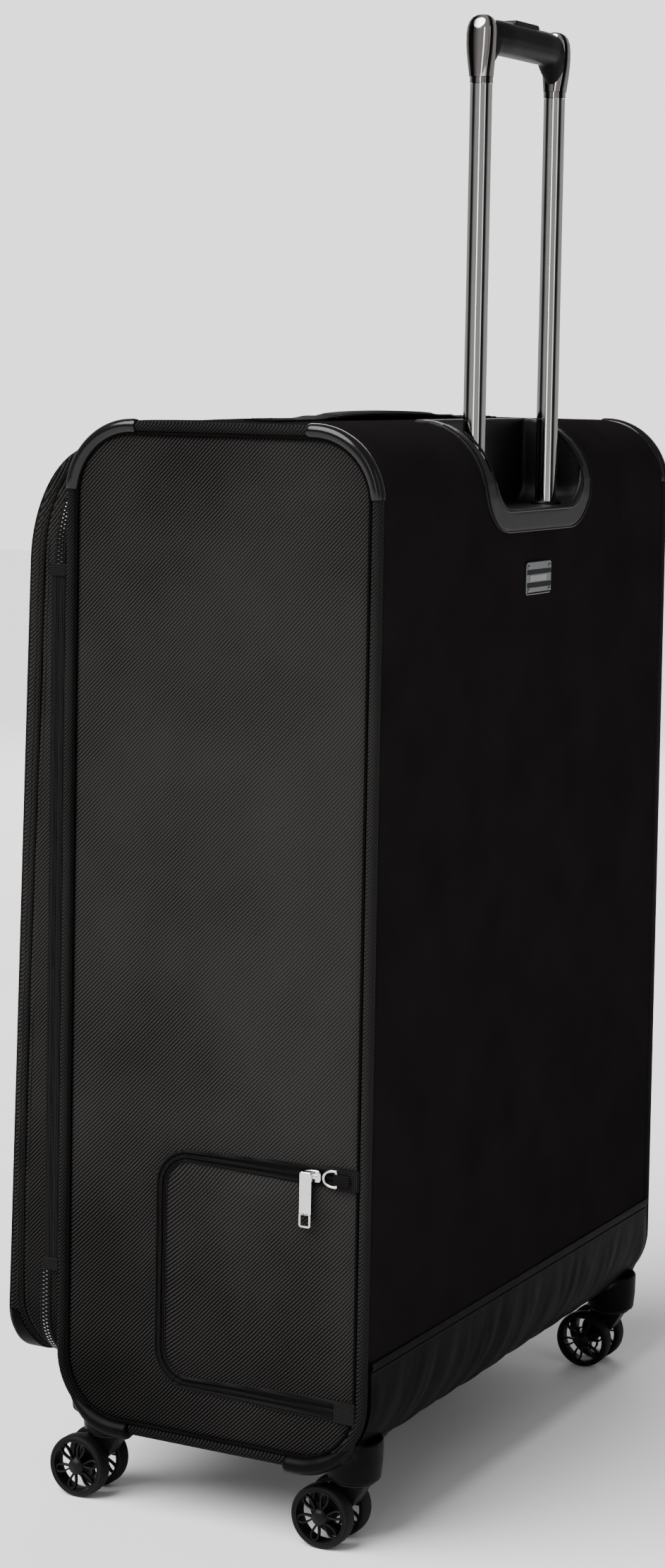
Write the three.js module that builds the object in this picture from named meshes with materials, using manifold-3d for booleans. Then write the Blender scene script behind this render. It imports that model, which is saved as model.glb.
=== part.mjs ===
// Softside upright suitcase on four twin-wheel casters, with a telescopic trolley handle.
// Millimetres. +Z is up, the lid faces -Y, the trolley handle stands at the +Y side.
// The origin is on the floor, below the middle of the case.

import * as THREE from 'three';
import { mergeVertices } from 'three/addons/utils/BufferGeometryUtils.js';
import Module from 'manifold-3d';

const wasm = await Module();
wasm.setup();

// ---- driving dimensions ----

const GAP = 0.3;
// Far enough to lie outside everything: the size of cutting blocks.
const FAR = 400;

// Case body: the piping centreline runs round each side as a rounded rectangle.
const HALF_WIDTH = 251.6;
const FRONT_Y = -93;
const BACK_Y = 144;
const BOTTOM_Z = 60;
const TOP_Z = 760;
const EDGE_R = 48;
const PIPING_R = 5;
const SKIN_OUT = 4;
const SKIN_IN = -1;
const WALL_X = HALF_WIDTH - PIPING_R - 0.6;
const SIDE_X0 = 248.5;
const SIDE_X1 = 253.5;
const SIDE_INSET = 5.4;
const OPENING_MARGIN = 18;
const BAND_TOP = 134;
const BAND_UNDER_Y = 60;
const BAND_THICK = 2.2;

// Identity plate.
const PLATE_HALF = 22;
const PLATE_HEIGHT = 24;
const PLATE_Z = 652;

// Corner pieces.
const TOP_GUARD_R = 7.4;
const TOP_GUARD_LEG = EDGE_R;
const WHEEL_GUARD_PROUD = 6.6;
const WHEEL_GUARD_OUT = 9.2;
const WHEEL_GUARD_TOP = 82;
const WHEEL_GUARD_LENGTH_X = 62;
const WHEEL_GUARD_LENGTH_Y = 61;

// Casters.
const SWIVEL_X = 226.9;
const SWIVEL_Y = [-68, 127];
const WHEEL_TRAIL = 17;
const WHEEL_R = 22;
const WHEEL_WIDTH = 12;
const WHEEL_OFFSET_X = 13;
const FORK_WIDTH = 13;
const TOWER_R = 20;
const TOWER_BOTTOM = 47.5;
const AXLE_R = 2.5;
const STEM_R = 5;
const STEM_RISE = 4.5;
const FORK_HUB_R = 6.5;
const RIM_IN_R = WHEEL_R * 0.8;
const WHEEL_HUB_R = WHEEL_R * 0.27;
const SPOKES = 6;
const SPOKE_WIDTH = 3.6;
const AXLE_PLAY = 0.2;

// Trolley handle and the cup it stows in.
const TUBE_X = 64.4;
const TUBE_Y = 125;
const TUBE_R = 8;
const TUBE_WALL = 1.2;
const TUBE_PLAY = 0.5;
const OUTER_TUBE_R = 10.2;
const OUTER_TUBE_BOTTOM = 84;
const TUBE_BOTTOM = 590;
const COLLAR_Z = 1009;
const GRIP_BOTTOM = 1021;
const GRIP_TOP = 1051;
const GRIP_HALF = 60;
const GRIP_DEPTH = 23;
const LEG_WIDTH = 11;
const CAP_DEPTH = 22;
const BUTTON_HALF = 21;
const BUTTON_DEPTH = 13;
const BUTTON_TRAVEL = 3;
const CUP_HALF = 95;
const CUP_BOTTOM = 686;
const CUP_FLOOR = 703;
const CUP_FRONT = 92;
const CUP_WALL = 5;
const CUP_CORNER_R = 42;
const CUP_MOUTH_HALF = 78;
const CUP_MOUTH_R = 32;
const CUP_INSIDE_HALF = 83;
const CUP_INSIDE_R = 18;
const CUP_LIP_Y = BACK_Y + 2;
const CUP_PROUD = SKIN_OUT + 2.6;

// Lid, in the plane of the front.
const LID_HALF = 248;
const LID_BOTTOM = 96;
const LID_TOP = 745;
const LID_TOP_R = 80;
const LID_BOTTOM_R = 36;
const LID_BACK_Y = -99.6;
const LID_FRONT_Y = -142;
const LID_WALL = 4;
const LID_EDGE_R = 12;
const POCKET_FRONT_Y = -151.4;
const POCKET_HALF = 202;
const POCKET_R = 24;
const POCKETS = [['front_pocket_lower', 130, 425], ['front_pocket_upper', 440, 690]];

// Main zip, its sliders, and the hinge tape that closes its gap on the +X side.
const ZIP_BAND_THICK = 3.5;
const HINGE_TAPE_Z = [170, 656];
const MAIN_SLIDERS = [['upper', 606], ['lower', 556]];
const MAIN_SLIDER_Y = LID_BACK_Y - 2.4;
const MAIN_PULL_LENGTH = 32;

// Zipped pocket on the +X side: the middle line of its tape.
const ZIP_TAPE = 10;
const ZIP_TOP = 260;
const ZIP_BOTTOM = 101;
const ZIP_FRONT = -12.5;
const ZIP_BACK = 137;
const ZIP_CORNER_R = 22.5;
const SLIDER_THICK = 3.4;
const PULL_THICK = 1.5;
const SLIDER_Y = 106;
const SLIDER_X = SIDE_X1 + 2.1;
const PULL_LENGTH = 38;
const PULL_HALF = 4.5;
const PULL_WINDOW_HALF = 2.7;
const RING_Y = 120;

// Carry handles and the anchors that are sewn to the panels.
const HANDLE_HALF = 88;
const STRAP_WIDTH = 26;
const STRAP_THICK = 7;
const ANCHOR_LENGTH = 62;
const ANCHOR_THICK = 1.6;
const TOP_STRAP_Y = 16;
const SIDE_STRAP_Y = 10;
const SIDE_STRAP_Z = 430;

// ---- materials ----

const finish = (color, roughness, metalness = 0) =>
  new THREE.MeshStandardMaterial({ color, roughness, metalness });

const twill = finish(0x2b2a29, 0.9);
const fineWeave = finish(0x161616, 0.92);
const leatherette = finish(0x1b1b1c, 0.5);
const guardPlastic = finish(0x2a2a2b, 0.45);
const cupPlastic = finish(0x202021, 0.5);
const wheelPlastic = finish(0x19191a, 0.5);
const webbing = finish(0x1d1d1d, 0.85);
const chrome = finish(0xd8dade, 0.12, 1);
const bright = finish(0xc9ccd1, 0.22, 1);
const gripPlastic = finish(0x151516, 0.4);

// ---- small geometry helpers ----

const suitcase = new THREE.Group();
const SIDES = [['left', 1], ['right', -1]];
const ENDS = [['front', 0], ['back', 1]];

function addMesh(name, geometry, material) {
  const mesh = new THREE.Mesh(geometry, material);
  mesh.name = name;
  suitcase.add(mesh);
  return mesh;
}

// Closed three.js geometry to a manifold solid.
function solid(geometry) {
  const plain = geometry.clone();
  plain.deleteAttribute('normal');
  plain.deleteAttribute('uv');
  const merged = mergeVertices(plain, 1e-4);
  return new wasm.Manifold(new wasm.Mesh({
    numProp: 3,
    vertProperties: new Float32Array(merged.attributes.position.array),
    triVerts: new Uint32Array(merged.index.array),
  }));
}

// Manifold solid back to a three.js geometry.
function toGeometry(manifold) {
  const mesh = manifold.getMesh();
  const geometry = new THREE.BufferGeometry();
  geometry.setAttribute('position', new THREE.BufferAttribute(new Float32Array(mesh.vertProperties), 3));
  geometry.setIndex(new THREE.BufferAttribute(new Uint32Array(mesh.triVerts), 1));
  geometry.computeVertexNormals();
  return geometry;
}

const unite = (...parts) => parts.reduce((whole, part) => whole.add(part));
const cut = (whole, ...parts) => parts.reduce((rest, part) => rest.subtract(part), whole);

// Drops the crumbs that a cut leaves beside the piece itself.
const biggest = (whole) => whole.decompose().reduce((a, b) => (b.volume() > a.volume() ? b : a));

function box(x0, x1, y0, y1, z0, z1) {
  const geometry = new THREE.BoxGeometry(x1 - x0, y1 - y0, z1 - z0);
  geometry.translate((x0 + x1) / 2, (y0 + y1) / 2, (z0 + z1) / 2);
  return solid(geometry);
}

function upright(radius, x, y, z0, z1, sides = 20, topRadius = radius) {
  const geometry = new THREE.CylinderGeometry(topRadius, radius, z1 - z0, sides);
  geometry.rotateX(Math.PI / 2);
  geometry.translate(x, y, (z0 + z1) / 2);
  return solid(geometry);
}

function crosswise(radius, y, z, x0, x1, sides = 20) {
  const geometry = new THREE.CylinderGeometry(radius, radius, x1 - x0, sides);
  geometry.rotateZ(Math.PI / 2);
  geometry.translate((x0 + x1) / 2, y, z);
  return solid(geometry);
}

// Outline drawn in (y, z), pushed along +X from x0 to x1.
function alongX(shape, x0, x1, options = {}) {
  const geometry = new THREE.ExtrudeGeometry(shape, {
    depth: x1 - x0, bevelEnabled: false, curveSegments: 3, ...options,
  });
  const basis = new THREE.Matrix4().makeBasis(
    new THREE.Vector3(0, 1, 0), new THREE.Vector3(0, 0, 1), new THREE.Vector3(1, 0, 0));
  geometry.applyMatrix4(basis);
  geometry.translate(x0, 0, 0);
  return solid(geometry);
}

// Outline drawn in (x, z), pushed along -Y from y1 down to y0.
function alongY(shape, y0, y1, options = {}) {
  const geometry = new THREE.ExtrudeGeometry(shape, {
    depth: y1 - y0, bevelEnabled: false, curveSegments: 3, ...options,
  });
  geometry.rotateX(Math.PI / 2);
  geometry.translate(0, y1, 0);
  return solid(geometry);
}

// Rounded rectangle; r is one radius, or [bottom radius, top radius].
function roundedRect(x0, x1, z0, z1, r, path = new THREE.Shape()) {
  const [low, high] = Array.isArray(r) ? r : [r, r];
  const quarter = Math.PI / 2;
  path.moveTo(x0 + low, z0);
  path.lineTo(x1 - low, z0);
  path.absarc(x1 - low, z0 + low, low, -quarter, 0);
  path.lineTo(x1, z1 - high);
  path.absarc(x1 - high, z1 - high, high, 0, quarter);
  path.lineTo(x0 + high, z1);
  path.absarc(x0 + high, z1 - high, high, quarter, 2 * quarter);
  path.lineTo(x0, z0 + low);
  path.absarc(x0 + low, z0 + low, low, 2 * quarter, 3 * quarter);
  return path;
}

// The case's side outline, grown outwards by a distance.
const caseOutline = (grow, path) =>
  roundedRect(FRONT_Y - grow, BACK_Y + grow, BOTTOM_Z - grow, TOP_Z + grow, EDGE_R + grow, path);

const EDGE_STEPS = { curveSegments: 4 };
const caseBlock = (grow, x0 = -WALL_X, x1 = WALL_X) => alongX(caseOutline(grow), x0, x1, EDGE_STEPS);

const lidOutline = (grow) => roundedRect(-LID_HALF - grow, LID_HALF + grow,
  LID_BOTTOM - grow, LID_TOP + grow, [LID_BOTTOM_R + grow, LID_TOP_R + grow]);

// A round bead that follows the piping line at one side of the case.
function bead(side, radius) {
  const flat = radius * 0.15;
  const bevel = radius - flat;
  const outline = caseOutline(flat);
  outline.holes.push(caseOutline(-flat, new THREE.Path()));
  const centre = side * HALF_WIDTH;
  return alongX(outline, centre - flat, centre + flat, {
    bevelEnabled: true, bevelThickness: bevel, bevelSize: bevel, bevelSegments: 2, ...EDGE_STEPS,
  });
}

// ---- trolley cup, made first because the top and back panels are cut round it ----

const cupShape = (half, bottom, r) => roundedRect(-half, half, bottom, TOP_Z + 60, [r, 1]);

function trolleyCup() {
  const block = alongY(cupShape(CUP_HALF, CUP_BOTTOM, CUP_CORNER_R), CUP_FRONT, BACK_Y + 20);
  const inside = alongY(cupShape(CUP_INSIDE_HALF, CUP_FLOOR, CUP_INSIDE_R), CUP_FRONT + CUP_WALL, CUP_LIP_Y);
  const mouth = alongY(cupShape(CUP_MOUTH_HALF, CUP_FLOOR, CUP_MOUTH_R), CUP_LIP_Y - 1, BACK_Y + 30);
  const holes = SIDES.map(([, side]) =>
    upright(TUBE_R + TUBE_PLAY, side * TUBE_X, TUBE_Y, CUP_BOTTOM - 5, CUP_FLOOR + 5));
  return cut(block.intersect(caseBlock(CUP_PROUD, -200, 200)), inside, mouth, ...holes);
}

const cupClearance = alongY(
  cupShape(CUP_HALF + GAP, CUP_BOTTOM - GAP, CUP_CORNER_R + GAP), CUP_FRONT - GAP, BACK_Y + 40);

addMesh('trolley_cup', toGeometry(trolleyCup()), cupPlastic);

// ---- case body ----

const bandRing = cut(caseBlock(SKIN_OUT), caseBlock(SKIN_IN, -WALL_X - 1, WALL_X + 1));
const bandAbove = TOP_Z - EDGE_R;
const bandBelow = BOTTOM_Z + EDGE_R;

// Strap anchors of the two carry handles, sewn to the panels.
function topPanel() {
  const surface = TOP_Z + SKIN_OUT;
  const anchors = SIDES.map(([, side]) => {
    const near = side * (HANDLE_HALF + GAP);
    const far = side * (HANDLE_HALF + ANCHOR_LENGTH);
    return box(Math.min(near, far), Math.max(near, far), TOP_STRAP_Y - STRAP_WIDTH / 2,
      TOP_STRAP_Y + STRAP_WIDTH / 2, surface - 1, surface + ANCHOR_THICK);
  });
  const panel = bandRing.intersect(box(-FAR, FAR, -FAR, FAR, bandAbove, FAR * 2));
  return unite(cut(panel, cupClearance), ...anchors);
}

addMesh('top_panel', toGeometry(topPanel()), fineWeave);
addMesh('back_panel', toGeometry(cut(
  bandRing.intersect(box(-FAR, FAR, 0, FAR, bandBelow + GAP, bandAbove - GAP)), cupClearance)), fineWeave);
addMesh('bottom_tray', toGeometry(
  bandRing.intersect(box(-FAR, FAR, -FAR, FAR, 0, bandBelow))), guardPlastic);

// The front edge of the body: two jambs and the two sills of the opening in one frame.
function frontFrame() {
  const slab = bandRing.intersect(box(-FAR, FAR, -FAR, 0, bandBelow + GAP, bandAbove - GAP));
  const opening = box(-WALL_X + OPENING_MARGIN, WALL_X - OPENING_MARGIN, -FAR, 0,
    bandBelow + OPENING_MARGIN, bandAbove - OPENING_MARGIN);
  return cut(slab, opening);
}

addMesh('front_frame', toGeometry(frontFrame()), fineWeave);

for (const [word, side] of SIDES) {
  const [low, high] = side > 0 ? [SIDE_X0, SIDE_X1] : [-SIDE_X1, -SIDE_X0];
  let panel = alongX(caseOutline(-SIDE_INSET), low, high, EDGE_STEPS);
  if (side < 0) {
    for (const [, way] of SIDES) {
      const near = SIDE_STRAP_Z + way * (HANDLE_HALF + GAP);
      const far = SIDE_STRAP_Z + way * (HANDLE_HALF + ANCHOR_LENGTH);
      panel = panel.add(box(-SIDE_X1 - ANCHOR_THICK, -SIDE_X1 + 1, SIDE_STRAP_Y - STRAP_WIDTH / 2,
        SIDE_STRAP_Y + STRAP_WIDTH / 2, Math.min(near, far), Math.max(near, far)));
    }
  }
  addMesh(`side_panel_${word}`, toGeometry(panel), twill);
  addMesh(`piping_${word}`, toGeometry(bead(side, PIPING_R)), twill);
}

// ---- top corner guards: sleeves over the piping at the upper corners ----

const sidePanelClearance = (side) => {
  const [low, high] = side > 0 ? [SIDE_X0 - 3, SIDE_X1 + GAP] : [-SIDE_X1 - GAP, -SIDE_X0 + 3];
  return alongX(caseOutline(-SIDE_INSET + GAP), low, high, EDGE_STEPS);
};

for (const [word, side] of SIDES) {
  for (const [end, which] of ENDS) {
    const region = which
      ? box(-FAR, FAR, BACK_Y - TOP_GUARD_LEG - 2, FAR, TOP_Z - TOP_GUARD_LEG + 3, FAR * 2.5)
      : box(-FAR, FAR, -FAR, FRONT_Y + TOP_GUARD_LEG, TOP_Z - TOP_GUARD_LEG + 3, FAR * 2.5);
    const sleeve = cut(bead(side, TOP_GUARD_R).intersect(region), bead(side, PIPING_R + GAP),
      caseBlock(SKIN_OUT + GAP, -WALL_X - GAP, WALL_X + GAP), sidePanelClearance(side));
    addMesh(`top_guard_${end}_${word}`, toGeometry(biggest(sleeve)), guardPlastic);
  }
}

// ---- casters ----

// One wheel about its own middle, turning about X: tyre ring, hub and six spokes.
function wheelSolid() {
  const half = WHEEL_WIDTH / 2;
  const ring = [[RIM_IN_R, -half], [WHEEL_R - 2, -half], [WHEEL_R, -half + 2.5], [WHEEL_R, half - 2.5],
    [WHEEL_R - 2, half], [RIM_IN_R, half], [RIM_IN_R, -half]];
  const tyre = new THREE.LatheGeometry(ring.map(([r, h]) => new THREE.Vector2(r, h)), 20);
  tyre.rotateZ(-Math.PI / 2);
  const spokes = Array.from({ length: SPOKES }, (_, index) => {
    const bar = new THREE.BoxGeometry(WHEEL_WIDTH * 0.5, SPOKE_WIDTH, RIM_IN_R - 2);
    bar.translate(0, 0, (RIM_IN_R + 3) / 2);
    bar.rotateX(index * 2 * Math.PI / SPOKES);
    return solid(bar);
  });
  const hub = crosswise(WHEEL_HUB_R, 0, 0, -half, half, 12);
  const bore = crosswise(AXLE_R + AXLE_PLAY, 0, 0, -half - 1, half + 1, 12);
  return cut(unite(solid(tyre), hub, ...spokes), bore);
}

const wheelGeometry = toGeometry(wheelSolid());

function forkSolid() {
  const half = FORK_WIDTH / 2;
  const arm = new THREE.Shape();
  arm.moveTo(12, TOWER_BOTTOM - 2.4);
  arm.lineTo(-15, TOWER_BOTTOM - 2.4);
  arm.lineTo(-WHEEL_TRAIL - FORK_HUB_R, WHEEL_R + 2);
  arm.absarc(-WHEEL_TRAIL, WHEEL_R, FORK_HUB_R, Math.PI, 1.85 * Math.PI);
  arm.lineTo(3, WHEEL_R + 8);
  const plate = upright(15, 0, 0, TOWER_BOTTOM - 2.7, TOWER_BOTTOM - GAP);
  const stem = upright(STEM_R, 0, 0, TOWER_BOTTOM - 1, TOWER_BOTTOM + STEM_RISE, 16);
  const bore = crosswise(AXLE_R + AXLE_PLAY, -WHEEL_TRAIL, WHEEL_R, -half - 1, half + 1, 12);
  return cut(unite(alongX(arm, -half, half, { curveSegments: 4 }), plate, stem), bore);
}

const forkGeometry = toGeometry(forkSolid());

function wheelGuard(side, end) {
  const inward = BACK_Y + WHEEL_GUARD_OUT;
  const x = side * SWIVEL_X;
  const y = SWIVEL_Y[end];
  const outerX = side * (HALF_WIDTH + TOP_GUARD_R + 1);
  const innerX = side * (HALF_WIDTH - WHEEL_GUARD_LENGTH_X);
  const low = Math.min(outerX, innerX);
  const high = Math.max(outerX, innerX);
  const region = end
    ? box(low, high, BACK_Y - WHEEL_GUARD_LENGTH_Y, inward + 1, BOTTOM_Z - 20, WHEEL_GUARD_TOP)
    : box(low, high, FRONT_Y - WHEEL_GUARD_OUT - 1, FRONT_Y + WHEEL_GUARD_LENGTH_Y,
      BOTTOM_Z - 20, WHEEL_GUARD_TOP);
  const shell = alongX(caseOutline(WHEEL_GUARD_OUT), low, high, EDGE_STEPS);
  const tower = upright(TOWER_R - 2, x, y, TOWER_BOTTOM, WHEEL_GUARD_TOP, 20, TOWER_R);
  const window = alongX(caseOutline(-SIDE_INSET - 1.5),
    side > 0 ? SIDE_X0 : -FAR, side > 0 ? FAR : -SIDE_X0, EDGE_STEPS);
  const socket = upright(STEM_R + GAP, x, y, TOWER_BOTTOM - 1, TOWER_BOTTOM + STEM_RISE + 0.5, 16);
  return cut(unite(shell.intersect(region), tower),
    caseBlock(WHEEL_GUARD_PROUD, -WALL_X - GAP, WALL_X + GAP),
    bead(side, PIPING_R + GAP), sidePanelClearance(side), window, socket);
}

for (const [word, side] of SIDES) {
  for (const [end, which] of ENDS) {
    const place = `${end}_${word}`;
    addMesh(`wheel_guard_${place}`, toGeometry(biggest(wheelGuard(side, which))), guardPlastic);
    const hubY = SWIVEL_Y[which] - WHEEL_TRAIL;
    const fork = addMesh(`fork_${place}`, forkGeometry, wheelPlastic);
    fork.position.set(side * SWIVEL_X, SWIVEL_Y[which], 0);
    const axleHalf = WHEEL_OFFSET_X + WHEEL_WIDTH / 2 - 1;
    const axle = addMesh(`axle_${place}`, toGeometry(
      crosswise(AXLE_R, 0, 0, -axleHalf, axleHalf, 12)), bright);
    axle.position.set(side * SWIVEL_X, hubY, WHEEL_R);
    for (const [name, way] of [['outer', 1], ['inner', -1]]) {
      const wheel = addMesh(`wheel_${name}_${place}`, wheelGeometry, wheelPlastic);
      wheel.position.set(side * (SWIVEL_X + way * WHEEL_OFFSET_X), hubY, WHEEL_R);
    }
  }
}

// ---- leatherette band round the lower back edge ----

addMesh('base_band', toGeometry(cut(caseBlock(SKIN_OUT + BAND_THICK), caseBlock(SKIN_OUT + GAP, -FAR, FAR))
  .intersect(box(-FAR, FAR, BAND_UNDER_Y, FAR, 0, BAND_TOP))), leatherette);

// ---- identity plate on the back, left blank ----

addMesh('id_plate', toGeometry(alongY(roundedRect(-PLATE_HALF, PLATE_HALF, PLATE_Z - PLATE_HEIGHT / 2,
  PLATE_Z + PLATE_HEIGHT / 2, 2), BACK_Y + SKIN_OUT + GAP, BACK_Y + SKIN_OUT + 1.8)), bright);

// ---- trolley handle ----

for (const [word, side] of SIDES) {
  const x = side * TUBE_X;
  addMesh(`outer_tube_${word}`, toGeometry(cut(
    upright(OUTER_TUBE_R, x, TUBE_Y, OUTER_TUBE_BOTTOM, CUP_BOTTOM - GAP),
    upright(TUBE_R + TUBE_PLAY, x, TUBE_Y, OUTER_TUBE_BOTTOM + 4, CUP_BOTTOM + 5))), bright);
  addMesh(`handle_tube_${word}`, toGeometry(cut(
    upright(TUBE_R, x, TUBE_Y, TUBE_BOTTOM, COLLAR_Z - GAP),
    upright(TUBE_R - TUBE_WALL, x, TUBE_Y, TUBE_BOTTOM - 5, COLLAR_Z - 5))), chrome);
}

// The grip is an arch between the tubes; its two legs run down towards the collars.
function gripSolid() {
  const arch = new THREE.Shape();
  arch.moveTo(-GRIP_HALF, COLLAR_Z + 6);
  arch.lineTo(-GRIP_HALF, GRIP_TOP - 6);
  arch.quadraticCurveTo(-GRIP_HALF, GRIP_TOP - 1, -GRIP_HALF + 8, GRIP_TOP - 1);
  arch.quadraticCurveTo(0, GRIP_TOP + 1, GRIP_HALF - 8, GRIP_TOP - 1);
  arch.quadraticCurveTo(GRIP_HALF, GRIP_TOP - 1, GRIP_HALF, GRIP_TOP - 6);
  arch.lineTo(GRIP_HALF, COLLAR_Z + 6);
  arch.lineTo(GRIP_HALF - LEG_WIDTH, GRIP_BOTTOM + 1);
  arch.lineTo(-GRIP_HALF + LEG_WIDTH, GRIP_BOTTOM + 1);
  const edge = 5;
  const y0 = TUBE_Y - GRIP_DEPTH / 2;
  const y1 = TUBE_Y + GRIP_DEPTH / 2;
  const body = alongY(arch, y0 + edge, y1 - edge, {
    bevelEnabled: true, bevelThickness: edge, bevelSize: 3, bevelOffset: -3, bevelSegments: 3,
    curveSegments: 5,
  });
  const well = box(-BUTTON_HALF - GAP, BUTTON_HALF + GAP, TUBE_Y - BUTTON_DEPTH / 2 - GAP,
    TUBE_Y + BUTTON_DEPTH / 2 + GAP, GRIP_TOP - 8, GRIP_TOP + 20);
  return cut(body, well);
}

addMesh('grip', toGeometry(gripSolid()), gripPlastic);
addMesh('release_button', toGeometry(alongY(
  roundedRect(-BUTTON_HALF, BUTTON_HALF, GRIP_TOP - 8 + BUTTON_TRAVEL + GAP, GRIP_TOP + 2.4, [1, 3]),
  TUBE_Y - BUTTON_DEPTH / 2, TUBE_Y + BUTTON_DEPTH / 2)), gripPlastic);

// Chromed elbow at each end: it carries the grip on its tube.
for (const [word, side] of SIDES) {
  const elbow = new THREE.Shape();
  const inner = GRIP_HALF + GAP;
  const outer = TUBE_X + TUBE_R + 0.6;
  elbow.moveTo(TUBE_X - TUBE_R + 3.6, COLLAR_Z);
  elbow.lineTo(outer, COLLAR_Z);
  elbow.lineTo(outer + 1.4, GRIP_BOTTOM);
  elbow.lineTo(outer, GRIP_TOP - 14);
  elbow.quadraticCurveTo(outer - 1, GRIP_TOP, inner, GRIP_TOP);
  elbow.lineTo(inner, COLLAR_Z + 5.4);
  const edge = 4;
  const geometry = toGeometry(alongY(elbow, TUBE_Y - CAP_DEPTH / 2 + edge, TUBE_Y + CAP_DEPTH / 2 - edge, {
    bevelEnabled: true, bevelThickness: edge, bevelSize: 2, bevelOffset: -2, bevelSegments: 3,
    curveSegments: 5,
  }));
  const cap = addMesh(`grip_cap_${word}`, geometry, chrome);
  if (side < 0) {
    cap.rotation.z = Math.PI;
    cap.position.set(0, 2 * TUBE_Y, 0);
  }
}

// ---- lid ----

function lidShell() {
  const bevel = {
    bevelEnabled: true, bevelThickness: LID_EDGE_R, bevelSize: LID_EDGE_R, bevelOffset: -LID_EDGE_R,
    bevelSegments: 4,
  };
  const block = alongY(lidOutline(0), LID_FRONT_Y + LID_EDGE_R, LID_BACK_Y + LID_EDGE_R * 2, bevel);
  const behind = box(-FAR, FAR, LID_BACK_Y, FAR, 0, FAR * 2);
  const inside = alongY(lidOutline(-LID_WALL), LID_FRONT_Y + LID_WALL + 3, LID_BACK_Y + 5);
  return cut(block, behind, inside);
}

addMesh('lid_shell', toGeometry(lidShell()), twill);

for (const [name, z0, z1] of POCKETS) {
  const edge = 5;
  const outline = roundedRect(-POCKET_HALF, POCKET_HALF, z0, z1, POCKET_R);
  const pocket = alongY(outline, POCKET_FRONT_Y + edge, LID_FRONT_Y + 10, {
    bevelEnabled: true, bevelThickness: edge, bevelSize: edge, bevelOffset: -edge, bevelSegments: 2,
  });
  addMesh(name, toGeometry(pocket.subtract(box(-FAR, FAR, LID_FRONT_Y - GAP, FAR, 0, FAR * 2))), twill);
}

// The main zip follows the lid's outline and closes the step down to the rounded body.
addMesh('main_zip', toGeometry(cut(
  alongY(lidOutline(-0.8), LID_BACK_Y + GAP, -EDGE_R),
  alongY(lidOutline(-0.8 - ZIP_BAND_THICK), LID_BACK_Y - 5, 0),
  caseBlock(SKIN_OUT + GAP, -FAR, FAR))), webbing);

// Woven hinge tape on the +X side, between the case and the lid.
addMesh('hinge_tape', toGeometry(box(LID_HALF + GAP, LID_HALF + 1.7, LID_BACK_Y - 1.8, LID_BACK_Y + 1.2,
  ...HINGE_TAPE_Z)), twill);

// Two sliders on the main zip, each with its pull, on the -X side.
for (const [word, z] of MAIN_SLIDERS) {
  const x = -LID_HALF - GAP;
  const body = roundedRect(MAIN_SLIDER_Y - 3.5, MAIN_SLIDER_Y + 3.5, z - 7, z + 7, 2);
  const pull = roundedRect(MAIN_SLIDER_Y - 3, MAIN_SLIDER_Y + 3, z - MAIN_PULL_LENGTH, z, 2.5);
  const outer = x - SLIDER_THICK - GAP;
  addMesh(`main_slider_${word}`, toGeometry(alongX(body, x - SLIDER_THICK, x)), bright);
  addMesh(`main_pull_${word}`, toGeometry(alongX(pull, outer - PULL_THICK, outer)), bright);
}

// ---- zipped pocket on the +X side ----

function zipTape() {
  const [out, inn] = [ZIP_CORNER_R + ZIP_TAPE / 2, ZIP_CORNER_R - ZIP_TAPE / 2];
  const cy = ZIP_FRONT + ZIP_CORNER_R;
  const topC = ZIP_TOP - ZIP_CORNER_R;
  const lowC = ZIP_BOTTOM + ZIP_CORNER_R;
  const quarter = Math.PI / 2;
  const tape = new THREE.Shape();
  tape.moveTo(ZIP_BACK, topC + out);
  tape.lineTo(cy, topC + out);
  tape.absarc(cy, topC, out, quarter, 2 * quarter);
  tape.lineTo(cy - out, lowC);
  tape.absarc(cy, lowC, out, 2 * quarter, 3 * quarter);
  tape.lineTo(ZIP_BACK, lowC - out);
  tape.lineTo(ZIP_BACK, lowC - inn);
  tape.lineTo(cy, lowC - inn);
  tape.absarc(cy, lowC, inn, 3 * quarter, 2 * quarter, true);
  tape.lineTo(cy - inn, topC);
  tape.absarc(cy, topC, inn, 2 * quarter, quarter, true);
  tape.lineTo(ZIP_BACK, topC + inn);
  return alongX(tape, SIDE_X1 + GAP, SIDE_X1 + 1.8);
}

addMesh('side_zip', toGeometry(zipTape()), webbing);

addMesh('side_slider', toGeometry(alongX(
  roundedRect(SLIDER_Y - 7, SLIDER_Y + 7, ZIP_TOP - 4.5, ZIP_TOP + 4.5, 2.5),
  SLIDER_X, SLIDER_X + SLIDER_THICK)), bright);

function sidePull() {
  const y = SLIDER_Y - 3;
  const top = ZIP_TOP + 3;
  const plate = alongX(roundedRect(y - PULL_HALF, y + PULL_HALF, top - PULL_LENGTH, top, 1.5),
    SLIDER_X + SLIDER_THICK + GAP, SLIDER_X + SLIDER_THICK + GAP + PULL_THICK);
  const foot = top - PULL_LENGTH;
  const window = box(0, FAR, y - PULL_WINDOW_HALF, y + PULL_WINDOW_HALF, foot + 2.4, foot + 8.4);
  return plate.subtract(window);
}
addMesh('side_pull', toGeometry(sidePull()), bright);

// D-ring in its webbing loop at the end of the pocket zip.
const ring = roundedRect(RING_Y - 6, RING_Y + 5, ZIP_TOP - 6.5, ZIP_TOP + 6.5, 4.5);
ring.holes.push(roundedRect(RING_Y - 4, RING_Y + 3, ZIP_TOP - 4.5, ZIP_TOP + 4.5, 2.5, new THREE.Path()));
addMesh('d_ring', toGeometry(alongX(ring, SLIDER_X + GAP, SLIDER_X + 2.3, { curveSegments: 4 })), bright);
addMesh('ring_loop', toGeometry(box(SLIDER_X, SLIDER_X + SLIDER_THICK, RING_Y + 5.7, ZIP_BACK - 2,
  ZIP_TOP - 3.8, ZIP_TOP + 3.8)), webbing);

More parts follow.
